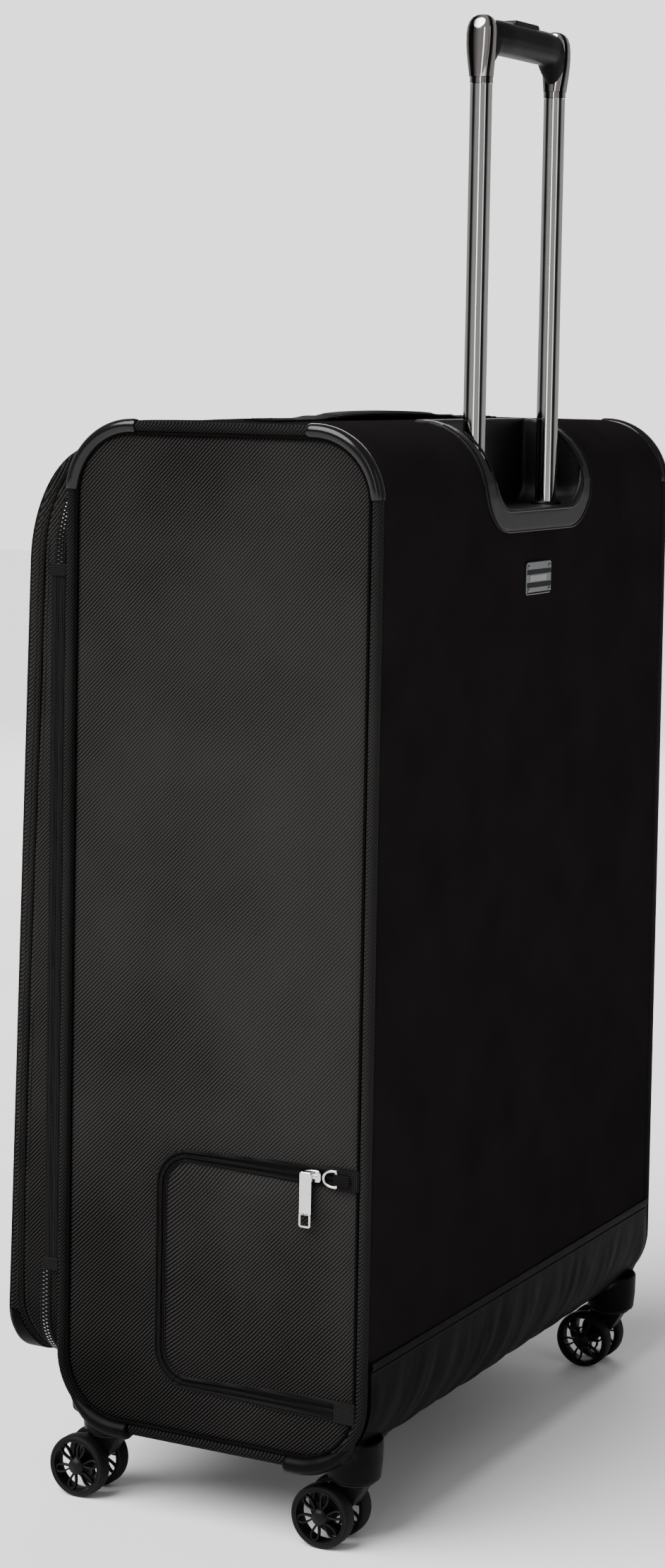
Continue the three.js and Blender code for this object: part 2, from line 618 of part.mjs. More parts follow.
// ---- carry handles: low padded straps, lifted by the hand ----

function strapShape(base) {
  const strap = new THREE.Shape();
  strap.moveTo(-HANDLE_HALF, base);
  strap.lineTo(HANDLE_HALF, base);
  strap.lineTo(HANDLE_HALF, base + 2);
  strap.quadraticCurveTo(HANDLE_HALF * 0.7, base + STRAP_THICK, HANDLE_HALF * 0.4, base + STRAP_THICK);
  strap.lineTo(-HANDLE_HALF * 0.4, base + STRAP_THICK);
  strap.quadraticCurveTo(-HANDLE_HALF * 0.7, base + STRAP_THICK, -HANDLE_HALF, base + 2);
  return strap;
}

addMesh('top_handle', toGeometry(alongY(strapShape(TOP_Z + SKIN_OUT + GAP),
  TOP_STRAP_Y - STRAP_WIDTH / 2, TOP_STRAP_Y + STRAP_WIDTH / 2)), webbing);

const sideStrap = alongY(strapShape(0), -STRAP_WIDTH / 2, STRAP_WIDTH / 2);
const sideHandle = addMesh('side_handle', toGeometry(sideStrap), webbing);
sideHandle.rotation.y = -Math.PI / 2;
sideHandle.position.set(-SIDE_X1 - GAP, SIDE_STRAP_Y, SIDE_STRAP_Z);

export default suitcase;
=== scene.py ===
"""Looks for the softside upright suitcase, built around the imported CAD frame.

Points are worked out in millimetres in the frame's own axes: +Z up, lid towards -Y, zipped pocket on +X.
"""

import math

import bmesh
import bpy
from mathutils import Matrix, Vector, noise


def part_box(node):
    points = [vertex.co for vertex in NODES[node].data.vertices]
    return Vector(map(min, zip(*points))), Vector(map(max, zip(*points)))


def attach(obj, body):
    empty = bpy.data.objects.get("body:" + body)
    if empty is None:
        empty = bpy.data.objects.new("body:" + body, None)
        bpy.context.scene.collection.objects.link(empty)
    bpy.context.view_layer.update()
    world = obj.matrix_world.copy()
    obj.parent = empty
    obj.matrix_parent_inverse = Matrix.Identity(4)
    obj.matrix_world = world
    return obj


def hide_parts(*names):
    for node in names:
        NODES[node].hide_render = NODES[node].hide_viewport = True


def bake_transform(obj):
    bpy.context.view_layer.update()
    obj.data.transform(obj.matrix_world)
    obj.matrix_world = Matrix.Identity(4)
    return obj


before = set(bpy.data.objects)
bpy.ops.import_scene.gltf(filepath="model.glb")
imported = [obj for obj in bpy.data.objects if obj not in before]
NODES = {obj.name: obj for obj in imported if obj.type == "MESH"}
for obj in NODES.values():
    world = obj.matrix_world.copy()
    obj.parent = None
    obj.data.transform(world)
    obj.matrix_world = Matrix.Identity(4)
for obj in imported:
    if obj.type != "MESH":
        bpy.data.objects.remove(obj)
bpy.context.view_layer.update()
MM = 0.001

# Case outline in (y, z), with the piping's middle line at x = +-HALF_WIDTH.
HALF_WIDTH = 251.6
PIPING_R = 3.9
FRONT_Y, BACK_Y = -93, 144
BOTTOM_Z, TOP_Z = 60, 760
EDGE_R = 48
SKIN_OUT = 4
SKIN_HALF = 246.8
BAND_TOP, BAND_LAP = 134, 24
FRONT_LAP_Z = 706
CASE_MIDDLE = Vector((0, 25, 410))

# How far the upper sleeves and the wheel housings reach along the case from its front or back.
SLEEVE_REACH = {"front": 51.3, "back": 53.4}
SLEEVE_DROP = 47
HOUSING_REACH, HOUSING_RISE = 59, 21

# Side panels and the pocket zip on +X: the middle line of its tape.
SIDE_X = 253.5
ZIP_TOP, ZIP_BOTTOM = 260, 101
ZIP_FRONT, ZIP_BACK = -12.5, 137
ZIP_CORNER_R = 22.5

# Lid outline in (x, z).
LID_HALF = 248
LID_BOTTOM, LID_TOP = 96, 745
LID_BOTTOM_R, LID_TOP_R = 36, 80
LID_BACK_Y = -99.9
LID_CORNER = 6.0
HINGE_LOW, HINGE_HIGH = 168, 657

# Trolley handle and cup.
TUBE_X, TUBE_Y, TUBE_R = 64.4, 125, 8
TUBE_BOTTOM, COLLAR_Z = 590, 1009
CUP_HALF, CUP_BOTTOM, CUP_CORNER_R = 95, 686, 42
CUP_FRONT_Y, CUP_LAP = 97, 7

# Casters.
SWIVEL_X = 226.9
WHEEL_R, WHEEL_HALF, WHEEL_OFFSET = 22, 6, 13
HUB_Y = {"front": -85, "back": 110}
SWIVEL_Y = {"front": -68, "back": 127}

# Carry handles.
HANDLE_HALF, HANDLE_WIDTH, HANDLE_LIFT = 86, 25, 0.6
ANCHOR_START, ANCHOR_LENGTH = 92, 92

SIDES = {"left": 1, "right": -1}
ENDS = ("front", "back")

# ---------------------------------------------------------------- camera, light and floor

CAMERA_PLACE = Vector((2.0989, 1.0743, 0.8052))
CAMERA_AZIMUTH = math.radians(117.54)
CAMERA_PITCH = math.radians(4.0)
CAMERA_ROLL = math.radians(1.016)
CAMERA_LENS = 72.2
CAMERA_SHIFT = -0.128


def make_camera():
    """Looks at the case from behind its +X side, a little above its top."""
    data = bpy.data.cameras.new("camera")
    camera = bpy.data.objects.new("camera", data)
    bpy.context.scene.collection.objects.link(camera)
    sin_a, cos_a = math.sin(CAMERA_AZIMUTH), math.cos(CAMERA_AZIMUTH)
    back = Vector((sin_a * math.cos(CAMERA_PITCH), -cos_a * math.cos(CAMERA_PITCH), math.sin(CAMERA_PITCH)))
    right = Vector((cos_a, sin_a, 0))
    up = back.cross(right)
    turned_right = math.cos(CAMERA_ROLL) * right + math.sin(CAMERA_ROLL) * up
    turned_up = math.cos(CAMERA_ROLL) * up - math.sin(CAMERA_ROLL) * right
    axes = Matrix((turned_right, turned_up, back)).transposed()
    camera.matrix_world = Matrix.Translation(CAMERA_PLACE) @ axes.to_4x4()
    data.lens = CAMERA_LENS
    data.sensor_width = 36
    data.shift_y = CAMERA_SHIFT
    data.clip_end = 50
    bpy.context.scene.camera = camera


def softbox(name, place, target, size, power):
    """A rectangular area light, width by height in metres, aimed at a point."""
    data = bpy.data.lights.new(name, "AREA")
    data.shape = "RECTANGLE"
    data.size, data.size_y = size
    data.energy = power
    light = bpy.data.objects.new(name, data)
    bpy.context.scene.collection.objects.link(light)
    light.location = place
    aim = Vector(target) - Vector(place)
    light.rotation_euler = aim.to_track_quat("-Z", "Y").to_euler()


def make_studio():
    """A soft key light from the upper left, two strips, a fill on the far side, and a pale floor.

    The surround is bright for the camera and dim as a light, so that dark cloth stays dark.
    """
    world = bpy.data.worlds.new("studio")
    world.use_nodes = True
    tree = world.node_tree
    either = tree.nodes.new("ShaderNodeMixShader")
    seen = tree.nodes.new("ShaderNodeLightPath")
    tree.links.new(seen.outputs["Is Camera Ray"], either.inputs[0])
    backdrop = tree.nodes.new("ShaderNodeBackground")
    for socket, node, strength in ((1, tree.nodes["Background"], 0.35), (2, backdrop, 2.0)):
        node.inputs["Color"].default_value = (1, 1, 1, 1)
        node.inputs["Strength"].default_value = strength
        tree.links.new(node.outputs[0], either.inputs[socket])
    tree.links.new(either.outputs[0], tree.nodes["World Output"].inputs[0])
    bpy.context.scene.world = world
    sun = bpy.data.lights.new("soft_key", "SUN")
    sun.energy = 6.6
    sun.angle = math.radians(50)
    lamp = bpy.data.objects.new("soft_key", sun)
    bpy.context.scene.collection.objects.link(lamp)
    lamp.rotation_euler = Vector((-0.55, 0.30, -0.78)).to_track_quat("-Z", "Y").to_euler()
    softbox("strip_right", (1.2, 2.8, 1.4), (0, 0.1, 0.6), (0.4, 2.4), 6)
    softbox("fill_far", (-3.6, -1.6, 1.9), (0, 0, 0.4), (2.2, 2.2), 45)
    softbox("strip_camera", (3.4, 0.9, 1.6), (0, 0, 0.7), (0.4, 2.4), 14)
    reach = (-9000, 9000)
    floor = bare_object("floor", *lattice([[(x, y, 0) for x in reach] for y in reach]), [FLOOR])


# ---------------------------------------------------------------- materials


class Paint:
    """A Principled material with short calls that add and wire its nodes."""

    def __init__(self, name, roughness, metallic=0.0, specular=0.5):
        self.material = bpy.data.materials.new(name)
        self.material.use_nodes = True
        self.tree = self.material.node_tree
        self.shader = self.tree.nodes["Principled BSDF"]
        self.place = self.tree.nodes.new("ShaderNodeTexCoord").outputs["Object"]
        self.shader.inputs["Roughness"].default_value = roughness
        self.shader.inputs["Metallic"].default_value = metallic
        self.shader.inputs["Specular IOR Level"].default_value = specular

    def feed(self, socket, value):
        """Wires an output, or writes a number, into a socket."""
        if isinstance(value, bpy.types.NodeSocket):
            self.tree.links.new(value, socket)
        else:
            socket.default_value = value

    def math(self, operation, *values):
        node = self.tree.nodes.new("ShaderNodeMath")
        node.operation = operation
        for socket, value in zip(node.inputs, values):
            self.feed(socket, value)
        return node.outputs[0]

    def along(self, direction, period):
        """Distance along a direction in periods of so many millimetres."""
        node = self.tree.nodes.new("ShaderNodeVectorMath")
        node.operation = "DOT_PRODUCT"
        self.feed(node.inputs[0], self.place)
        node.inputs[1].default_value = Vector(direction).normalized() / (period * MM)
        return node.outputs["Value"]

    def wave(self, turns, shift=0.0):
        """0 to 1 and back once a turn."""
        angle = self.math("MULTIPLY", self.math("ADD", turns, shift), 2 * math.pi)
        return self.math("MULTIPLY_ADD", self.math("SINE", angle), 0.5, 0.5)

    def noise(self, size, detail=2.0, stretch=(1, 1, 1)):
        """Cloudy noise whose lumps are about size millimetres across."""
        scale = self.tree.nodes.new("ShaderNodeMapping")
        scale.inputs["Scale"].default_value = stretch
        self.feed(scale.inputs["Vector"], self.place)
        node = self.tree.nodes.new("ShaderNodeTexNoise")
        self.feed(node.inputs["Vector"], scale.outputs["Vector"])
        node.inputs["Scale"].default_value = 1 / (size * MM)
        node.inputs["Detail"].default_value = detail
        return node.outputs["Fac"]

    def cells(self, size):
        """Distance to the nearest of scattered points, about size millimetres apart."""
        node = self.tree.nodes.new("ShaderNodeTexVoronoi")
        self.feed(node.inputs["Vector"], self.place)
        node.inputs["Scale"].default_value = 1 / (size * MM)
        return node.outputs["Distance"]

    def mix(self, *terms):
        """Sum of (value, weight) pairs."""
        total = 0.0
        for value, weight in terms:
            total = self.math("MULTIPLY_ADD", value, weight, total)
        return total

    def ramp(self, value, *stops):
        """Colour or grey at each (position, value) stop."""
        node = self.tree.nodes.new("ShaderNodeValToRGB")
        self.feed(node.inputs["Fac"], value)
        elements = node.color_ramp.elements
        while len(elements) < len(stops):
            elements.new(0.5)
        for element, (position, shade) in zip(elements, stops):
            element.position = position
            element.color = (*shade, 1) if isinstance(shade, tuple) else (shade, shade, shade, 1)
        return node.outputs["Color"]

    def colour(self, value, *stops):
        self.feed(self.shader.inputs["Base Color"], self.ramp(value, *stops))

    def rough(self, value, low, high):
        self.feed(self.shader.inputs["Roughness"], self.ramp(value, (0.0, low), (1.0, high)))

    def bump(self, height, depth):
        """Relief of so many millimetres."""
        node = self.tree.nodes.new("ShaderNodeBump")
        node.inputs["Distance"].default_value = depth * MM
        self.feed(node.inputs["Height"], height)
        self.feed(self.shader.inputs["Normal"], node.outputs["Normal"])

    def normal(self):
        """The surface's own direction, as x, y and z."""
        node = self.tree.nodes.new("ShaderNodeSeparateXYZ")
        self.feed(node.inputs[0], self.tree.nodes.new("ShaderNodeTexCoord").outputs["Normal"])
        return node.outputs

    def facing(self, values):
        """Blends three values by how far the surface faces x, y and z."""
        total = 0.0
        for direction, value in zip(self.normal(), values):
            share = self.math("POWER", self.math("ABSOLUTE", direction), 2.0)
            total = self.math("MULTIPLY_ADD", share, value, total)
        return total


def twill(name, pitch, dark, light, specular=0.03):
    """Diagonal ribs of short threads, with dust, and painted light: palest at half height and towards +Y,
    with painted shade towards the top, the foot and the front.
    """
    paint = Paint(name, 0.85, specular=specular)
    rib = paint.along((1, -1, 1), pitch)
    thread = paint.along((-1, 1, 1), pitch * 1.6)
    stagger = paint.math("MULTIPLY", paint.math("FLOOR", paint.math("ADD", rib, 0.25)), 0.5)
    grain = paint.wave(paint.math("ADD", thread, stagger))
    fibre = paint.noise(0.5, 1.0)
    patch = paint.noise(75, 4.0)
    height = paint.mix((paint.wave(rib), 0.8), (grain, 0.12), (fibre, 0.2))
    # Painted light and shade: swell is painted light at half height and painted shade towards the top and the
    # foot; turn is painted light towards +Y and painted shade towards the front.
    swell = paint.math("SINE", paint.along((0, 0, 1), 0.97 * 1000 / math.pi))
    turn = paint.along((0, 1, 0), 1000)
    shade = paint.mix((height, 0.78), (patch, 0.40), (swell, 0.50), (turn, 0.7), (-0.36, 1.0))
    paint.colour(shade, (0.30, dark), (0.98, light))
    paint.rough(height, 0.95, 0.7)
    paint.bump(height, 0.35)
    return paint.material


def plain_weave(name, pitch, dark, light, relief=0.12, specular=0.15, roughness=0.9):
    """Over-and-under threads on any face that looks along an axis."""
    paint = Paint(name, roughness, specular=specular)
    x, y, z = (paint.math("SINE", paint.math("MULTIPLY", paint.along(axis, pitch), math.pi * 2))
               for axis in ((1, 0, 0), (0, 1, 0), (0, 0, 1)))
    products = [paint.math("MULTIPLY", a, b) for a, b in ((y, z), (x, z), (x, y))]
    weave = paint.math("MULTIPLY_ADD", paint.facing(products), 0.5, 0.5)
    shade = paint.mix((weave, 0.6), (paint.noise(0.6, 1.0), 0.25), (paint.noise(45, 3.0), 0.35))
    paint.colour(shade, (0.25, dark), (0.9, light))
    paint.rough(shade, roughness + 0.05, roughness - 0.12)
    paint.bump(shade, relief)
    return paint.material


def webbing(name, dark, light):
    """Close crosswise ribs, as on woven tape."""
    paint = Paint(name, 0.8, specular=0.05)
    cross = paint.wave(paint.along((1, 0.02, 1), 1.1))
    lengthwise = paint.wave(paint.along((0.03, 1, 0.03), 1.5))
    height = paint.mix((cross, 0.45), (lengthwise, 0.35), (paint.noise(0.7, 1.0), 0.3))
    paint.colour(height, (0.2, dark), (0.95, light))
    paint.rough(height, 0.9, 0.65)
    paint.bump(height, 0.25)
    return paint.material


def moulded(name, dark, light, rough_low, rough_high, grain=0.7, relief=0.05, specular=0.5):
    """Fine spark grain, with duller and shinier patches from handling."""
    paint = Paint(name, rough_low, specular=specular)
    grains = paint.mix((paint.noise(grain, 2.0), 0.6), (paint.cells(grain * 1.3), 0.5))
    wear = paint.noise(18, 4.0)
    paint.colour(paint.mix((wear, 0.8), (grains, 0.2)), (0.3, dark), (0.75, light))
    paint.rough(paint.mix((wear, 0.7), (grains, 0.4)), rough_low, rough_high)
    paint.bump(grains, relief)
    return paint.material


def leatherette(name):
    """Coated cloth: pebbled cells under a satin film."""
    paint = Paint(name, 0.42, specular=0.02)
    pebbles = paint.cells(1.1)
    crease = paint.noise(9, 4.0, (1, 1, 0.35))
    height = paint.mix((pebbles, 0.5), (crease, 0.5))
    paint.colour(height, (0.1, (0.0003, 0.0003, 0.0003)), (0.9, (0.0012, 0.0012, 0.0013)))
    paint.rough(height, 0.36, 0.58)
    paint.bump(height, 0.16)
    return paint.material


def polished(name, colour, rough_low, rough_high, stretch=(1, 1, 0.02), depth=0.004):
    """Metal with hairlines along its length and faint smears."""
    paint = Paint(name, rough_low, metallic=1.0)
    hairline = paint.noise(0.35, 2.0, stretch)
    smear = paint.noise(22, 3.0)
    tone = tuple(c * 0.82 for c in colour)
    paint.colour(paint.mix((smear, 0.7), (hairline, 0.3)), (0.25, tone), (0.75, colour))
    paint.rough(paint.mix((hairline, 0.5), (smear, 0.5)), rough_low, rough_high)
    paint.bump(hairline, depth)
    return paint.material


def mirror(name, bright, dark, spread=0.2):
    """Chrome plate on rounded parts, with a painted reflection: dark edge lines between broad bright bands,
    set by which way the surface faces round the upright axis.
    """
    paint = Paint(name, 0.07, metallic=1.0)
    x, y, _ = paint.normal()
    turn = paint.math("DIVIDE", paint.math("ARCTAN2", y, x), 2 * math.pi)
    # Painted reflection: five dark lines and bright bands round each part, by the direction its surface
    # faces.
    painted_reflection_bands = paint.wave(paint.math("MULTIPLY", turn, 5.0), -0.03)
    smear = paint.noise(22, 3.0)
    tone = tuple(0.6 * b for b in bright)
    paint.colour(paint.mix((painted_reflection_bands, 0.96), (smear, 0.08)),
                 (spread / 3, dark), (spread, tone), (spread + 0.22, bright))
    paint.rough(smear, 0.04, 0.1)
    return paint.material


def floor_paint():
    paint = Paint("pale_floor", 0.8, specular=0.2)
    paint.colour(paint.noise(400, 3.0), (0.3, 0.90), (0.7, 0.93))
    return paint.material


FLOOR = floor_paint()
TWILL = twill("charcoal_twill", 1.7, (0.0006, 0.0006, 0.0005), (0.0270, 0.0250, 0.0243))
LID_TWILL = twill("lid_twill", 1.7, (0.0012, 0.0011, 0.0011), (0.024, 0.0228, 0.0216))
PIPING_TWILL = twill("piping_twill", 1.6, (0.0005, 0.0005, 0.0005), (0.0145, 0.014, 0.0135), 0.05)
BACK_WEAVE = plain_weave("black_fine_weave", 0.9, (0.0040, 0.0033, 0.0036), (0.0135, 0.0115, 0.0122),
                         specular=0.0)
HINGE_WEAVE = webbing("hinge_twill_tape", (0.0015, 0.0015, 0.0015), (0.012, 0.0118, 0.0116))
TAPE = webbing("black_woven_tape", (0.0010, 0.0010, 0.0010), (0.0065, 0.0065, 0.0065))
# Near-black bead material for the piping's seam: its darkness is painted shade of the groove between the
# piping and the cloth.
FLANGE_PAINTED_SHADE = webbing("piping_flange_painted_shade", (0.0003, 0.0003, 0.0003), (0.0010, 0.0010, 0.0010))
LINING = plain_weave("grey_lining", 0.7, (0.020, 0.021, 0.023), (0.050, 0.052, 0.056), 0.05, 0.2, 0.6)
LEATHERETTE = leatherette("black_leatherette")
SLEEVE_PLASTIC = moulded("sleeve_plastic", 0.0014, 0.0032, 0.12, 0.2, 0.9, 0.02, 0.3)
GUARD = moulded("guard_plastic", 0.0012, 0.003, 0.28, 0.42, specular=0.12)
HOUSING = moulded("housing_plastic", 0.0006, 0.0014, 0.34, 0.5, specular=0.05)
CUP_PLASTIC = moulded("cup_plastic", 0.0015, 0.0035, 0.36, 0.52, 0.9, 0.08, 0.16)
WHEEL_PLASTIC = moulded("wheel_plastic", 0.0015, 0.0035, 0.32, 0.5, specular=0.12)
TYRE = moulded("tyre_rubber", 0.0015, 0.004, 0.55, 0.75, 0.5, 0.05, 0.12)
GRIP_PLASTIC = moulded("grip_plastic", (0.0042, 0.0036, 0.0038), (0.0075, 0.0066, 0.0069), 0.36, 0.5,
                       0.6, 0.04, 0.05)
# Chrome base colours are painted reflections: bright bands and dark edge lines.
CHROME = mirror("chromed_tube", (0.72, 0.71, 0.70), (0.035, 0.033, 0.032))
CAP_CHROME = mirror("chromed_cap", (0.50, 0.47, 0.46), (0.012, 0.011, 0.011), 0.42)
TEETH_METAL = polished("black_nickel", (0.14, 0.14, 0.145), 0.2, 0.35, (1, 1, 1), 0.01)
ZIP_METAL = polished("zip_metal", (0.72, 0.72, 0.73), 0.12, 0.26, (1, 1, 1), 0.01)
STEEL = polished("drawn_steel", (0.42, 0.42, 0.43), 0.25, 0.4)
PLATE_METAL = polished("plate_metal", (0.125, 0.13, 0.138), 0.3, 0.45, (0.02, 1, 1), 0.004)
LABEL = moulded("plate_label", 0.16, 0.22, 0.35, 0.5, specular=0.3)
THREAD = moulded("sewing_thread", 0.002, 0.008, 0.6, 0.8, 0.4, 0.08, 0.2)

# ---------------------------------------------------------------- mesh helpers


def lattice(rows, ring=False, loop=False, capped=True):
    """Quads between rows of points. ring joins the ends of each row; loop joins the last row to the first.

    The open ends of a ring are closed with one face each, unless capped is False.
    """
    width = len(rows[0])
    verts = [point for row in rows for point in row]
    faces = []
    for i in range(len(rows) if loop else len(rows) - 1):
        near, far = i * width, (i + 1) % len(rows) * width
        for j in range(width if ring else width - 1):
            k = (j + 1) % width
            faces.append((near + j, near + k, far + k, far + j))
    if ring and not loop and capped:
        faces.append(tuple(range(width - 1, -1, -1)))
        faces.append(tuple(range((len(rows) - 1) * width, len(rows) * width)))
    return verts, faces


def merged(*parts):
    """Several (verts, faces) as one."""
    verts, faces = [], []
    for more_verts, more_faces in parts:
        base = len(verts)
        verts += more_verts
        faces += [tuple(i + base for i in face) for face in more_faces]
    return verts, faces


def bare_object(name, verts, faces, materials):
    """A mesh object from millimetre points."""
    mesh = bpy.data.meshes.new(name)
    mesh.from_pydata([tuple(c * MM for c in point) for point in verts], [], faces)
    work = bmesh.new()
    work.from_mesh(mesh)
    bmesh.ops.remove_doubles(work, verts=work.verts, dist=1e-7)
    bmesh.ops.recalc_face_normals(work, faces=work.faces)
    work.to_mesh(mesh)
    work.free()
    for material in materials:
        mesh.materials.append(material)
    obj = bpy.data.objects.new(name, mesh)
    bpy.context.scene.collection.objects.link(obj)
    return obj


def repaint(node, material):
    """Gives a carried-over CAD node its material."""
    NODES[node].data.materials.clear()
    NODES[node].data.materials.append(material)


def box_mm(node):
    """A node's lowest and highest corners in millimetres."""
    return [[c / MM for c in corner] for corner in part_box(node)]


def settle(obj):
    """Writes the object's modifiers into its mesh."""
    graph = bpy.context.evaluated_depsgraph_get()
    graph.update()
    mesh = bpy.data.meshes.new_from_object(obj.evaluated_get(graph))
    obj.modifiers.clear()
    obj.data = mesh


def belong(obj, body, replaces=(), crease=40):
    """Smooth shading up to a crease angle, and the piece's place in the frame."""
    obj.data.shade_smooth()
    obj.data.set_sharp_from_angle(angle=math.radians(crease))
    if body:
        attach(obj, body)
    if replaces:
        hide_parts(*replaces)
    return obj


def piece(name, shape, material, body, replaces=(), crease=40):
    return belong(bare_object(name, *shape, [material]), body, replaces, crease)


def cover(name, shape, material, thickness, inside, body, replaces=(), crease=40):
    """An open sheet facing away from the case's middle, with a thickness and perhaps a lining behind it."""
    sheet = bare_object(name, *shape, [material])
    mesh = sheet.data
    if sum(face.normal.dot(face.center - CASE_MIDDLE * MM) * face.area for face in mesh.polygons) < 0:
        mesh.flip_normals()
    if inside:
        mesh.materials.append(inside)
    wall = sheet.modifiers.new("thickness", "SOLIDIFY")
    wall.thickness = thickness * MM
    wall.offset = -1
    wall.material_offset = 1 if inside else 0
    settle(sheet)
    return belong(sheet, body, replaces, crease)


def rounded(u0, u1, v0, v1, low_r, high_r, step=6.0, turn=9):
    """Points (u, v, normal u, normal v) round a rounded rectangle, from the foot of its u1, v0 corner."""
    corners = ((u1 - low_r, v0 + low_r, low_r, -90), (u1 - high_r, v1 - high_r, high_r, 0),
               (u0 + high_r, v1 - high_r, high_r, 90), (u0 + low_r, v0 + low_r, low_r, 180))
    key = []
    for cu, cv, radius, start in corners:
        count = max(2, round(90 / turn))
        for i in range(count + 1):
            a = math.radians(start + 90 * i / count)
            key.append((cu + radius * math.cos(a), cv + radius * math.sin(a), math.cos(a), math.sin(a)))
    points = []
    for here, there in zip(key, key[1:] + key[:1]):
        points.append(here)
        straight = abs(here[2] - there[2]) + abs(here[3] - there[3]) < 1e-6
        extra = int(math.dist(here[:2], there[:2]) // step) if straight else 0
        for k in range(1, extra + 1):
            t = k / (extra + 1)
            points.append((here[0] + (there[0] - here[0]) * t, here[1] + (there[1] - here[1]) * t, *here[2:]))
    return points


def case_ring(step, turn):
    """The case's outline as (y, z, normal y, normal z)."""
    return rounded(FRONT_Y, BACK_Y, BOTTOM_Z, TOP_Z, EDGE_R, EDGE_R, step, turn)


def strip_section(half_out, half_across, corner, step=3, turn=45):
    """Cross-section (out, across) of a strip or bar with rounded corners."""
    outline = rounded(-half_out, half_out, -half_across, half_across, corner, corner, step, turn)
    return [p[:2] for p in outline]


def circle(radius, sides):
    return [(radius * math.cos(2 * math.pi * i / sides), radius * math.sin(2 * math.pi * i / sides))
            for i in range(sides)]


def flat_bar(width, height, corner=0.4):
    """Cross-section (out, across) of a tape that lies on its base line."""
    return [(p[1], p[0]) for p in rounded(-width / 2, width / 2, 0, height, corner * 0.5, corner, 4, 45)]


def welted_bar(width, fold, height):
    """Cross-section of a zip tape whose two folded welts stand up at +-fold from the chain."""
    top = []
    for i in range(25):
        c = width * (i / 24 - 0.5)
        welt = math.exp(-((abs(c) - fold) / 1.5) ** 2)
        top.append((0.35 + height * welt, c))
    return [(0, -width / 2)] + top + [(0, width / 2)]


def sweep(path, profile, loop=False):
    """Pushes a cross-section of (out, across) offsets along a path of (point, out, across) vectors."""
    rows = [[p + out * a + across * c for a, c in profile] for p, out, across in path]
    return lattice(rows, ring=True, loop=loop)


def track(points, across):
    """Path through points, whose out direction is square to it and to across."""
    across = Vector(across)
    points = [Vector(p) for p in points]
    path = []
    for i, point in enumerate(points):
        way = points[min(i + 1, len(points) - 1)] - points[max(i - 1, 0)]
        path.append((point, across.cross(way).normalized(), across))
    return path


def closed_track(points, out):
    """Path round a closed loop of points that lies square to out."""
    out = Vector(out)
    path = []
    for i, point in enumerate(points):
        way = (points[(i + 1) % len(points)] - points[i - 1]).normalized()
        path.append((point, out, out.cross(way)))
    return path


def side_path(points, x, side):
    """Points (y, z, ny, nz) in the side plane as a path whose out direction is the side's own."""
    return [(Vector((x, y, z)), Vector((side, 0, 0)), Vector((0, ny, nz))) for y, z, ny, nz in points]


def slab(outline, place, low, high, bevel=0.5):
    """A plate over an outline of (u, v, nu, nv), from height low to high, with a bevelled top edge."""
    rows = [[place(u, v, low) for u, v, _, _ in outline],
            [place(u, v, high - bevel) for u, v, _, _ in outline],
            [place(u - nu * bevel, v - nv * bevel, high) for u, v, nu, nv in outline]]
    return lattice(rows, ring=True)


def on_side(side):
    return lambda u, v, h: Vector((side * h, u, v))


def on_back(u, v, h):
    return Vector((u, h, v))


def on_front(u, v, h):
    return Vector((u, -h, v))


def lathe(profile, sides, place):
    """Turned shape from a closed (radius, height) outline; place(u, v, h) puts its points."""
    rows = []
    for i in range(sides):
        a = 2 * math.pi * i / sides
        rows.append([place(r * math.cos(a), r * math.sin(a), h) for r, h in profile])
    return lattice(rows, ring=True, loop=True)


def upright(x, y):
    """Places a turned shape about a vertical axis."""
    return lambda u, v, h: Vector((x + u, y + v, h))


def paces(points, pitch, first):
    """(segment, point, direction) every pitch along a polyline, from a first distance."""
    travelled, due = 0.0, first
    for i, (here, there) in enumerate(zip(points, points[1:])):
        length = (there - here).length
        while due <= travelled + length and length > 0:
            yield i, here.lerp(there, (due - travelled) / length), (there - here).normalized()
            due += pitch
        travelled += length


def stitches(points, normal_of, pitch=3.0, size=0.45):
    """One small capsule per stitch along a polyline; normal_of gives the outward direction at a point."""
    parts = []
    for _, centre, way in paces([Vector(p) for p in points], pitch, pitch / 2):
        out = normal_of(centre)
        across = out.cross(way)
        rows = []
        for t, r, sink in ((-0.36, 0.3, 0.3), (-0.22, 1, 0), (0.22, 1, 0), (0.36, 0.3, 0.3)):
            middle = centre + way * (pitch * t) - out * (size * sink)
            rows.append([middle + out * (a * r) + across * (c * r) for a, c in circle(size, 6)])
        parts.append(lattice(rows, ring=True))
    return merged(*parts)


def wobble(y, z, size, seed=0.0):
    """Smooth noise from -1 to 1 over a plane."""
    return noise.noise(Vector((y / size, z / size, seed)))


def ease(t):
    t = min(max(t, 0.0), 1.0)
    return t * t * (3 - 2 * t)


def melt(obj, voxel, passes):
    """Joins overlapping closed shapes into one skin and rounds it off."""
    joined = obj.modifiers.new("melt", "REMESH")
    joined.mode = "VOXEL"
    joined.voxel_size = voxel * MM
    smooth = obj.modifiers.new("smooth", "SMOOTH")
    smooth.factor = 0.5
    smooth.iterations = passes
    settle(obj)


def softened(node, name, material, voxel, passes, body, crease=55):
    """A CAD node's shape with its facets melted away."""
    source = NODES[node]
    mesh = source.data.copy()
    mesh.transform(source.matrix_world)
    mesh.materials.clear()
    mesh.materials.append(material)
    obj = bpy.data.objects.new(name, mesh)
    bpy.context.scene.collection.objects.link(obj)
    melt(obj, voxel, passes)
    return belong(obj, body, [node], crease)


# ---------------------------------------------------------------- case body


def pocket_depth(y, z):
    """Distance inside the pocket zip's middle line; negative outside it."""
    centre_z = (ZIP_TOP + ZIP_BOTTOM) / 2
    dy = (ZIP_FRONT + ZIP_CORNER_R) - y
    dz = abs(z - centre_z) - ((ZIP_TOP - ZIP_BOTTOM) / 2 - ZIP_CORNER_R)
    corner = math.hypot(max(dy, 0), max(dz, 0)) + min(max(dy, dz), 0)
    return ZIP_CORNER_R - corner


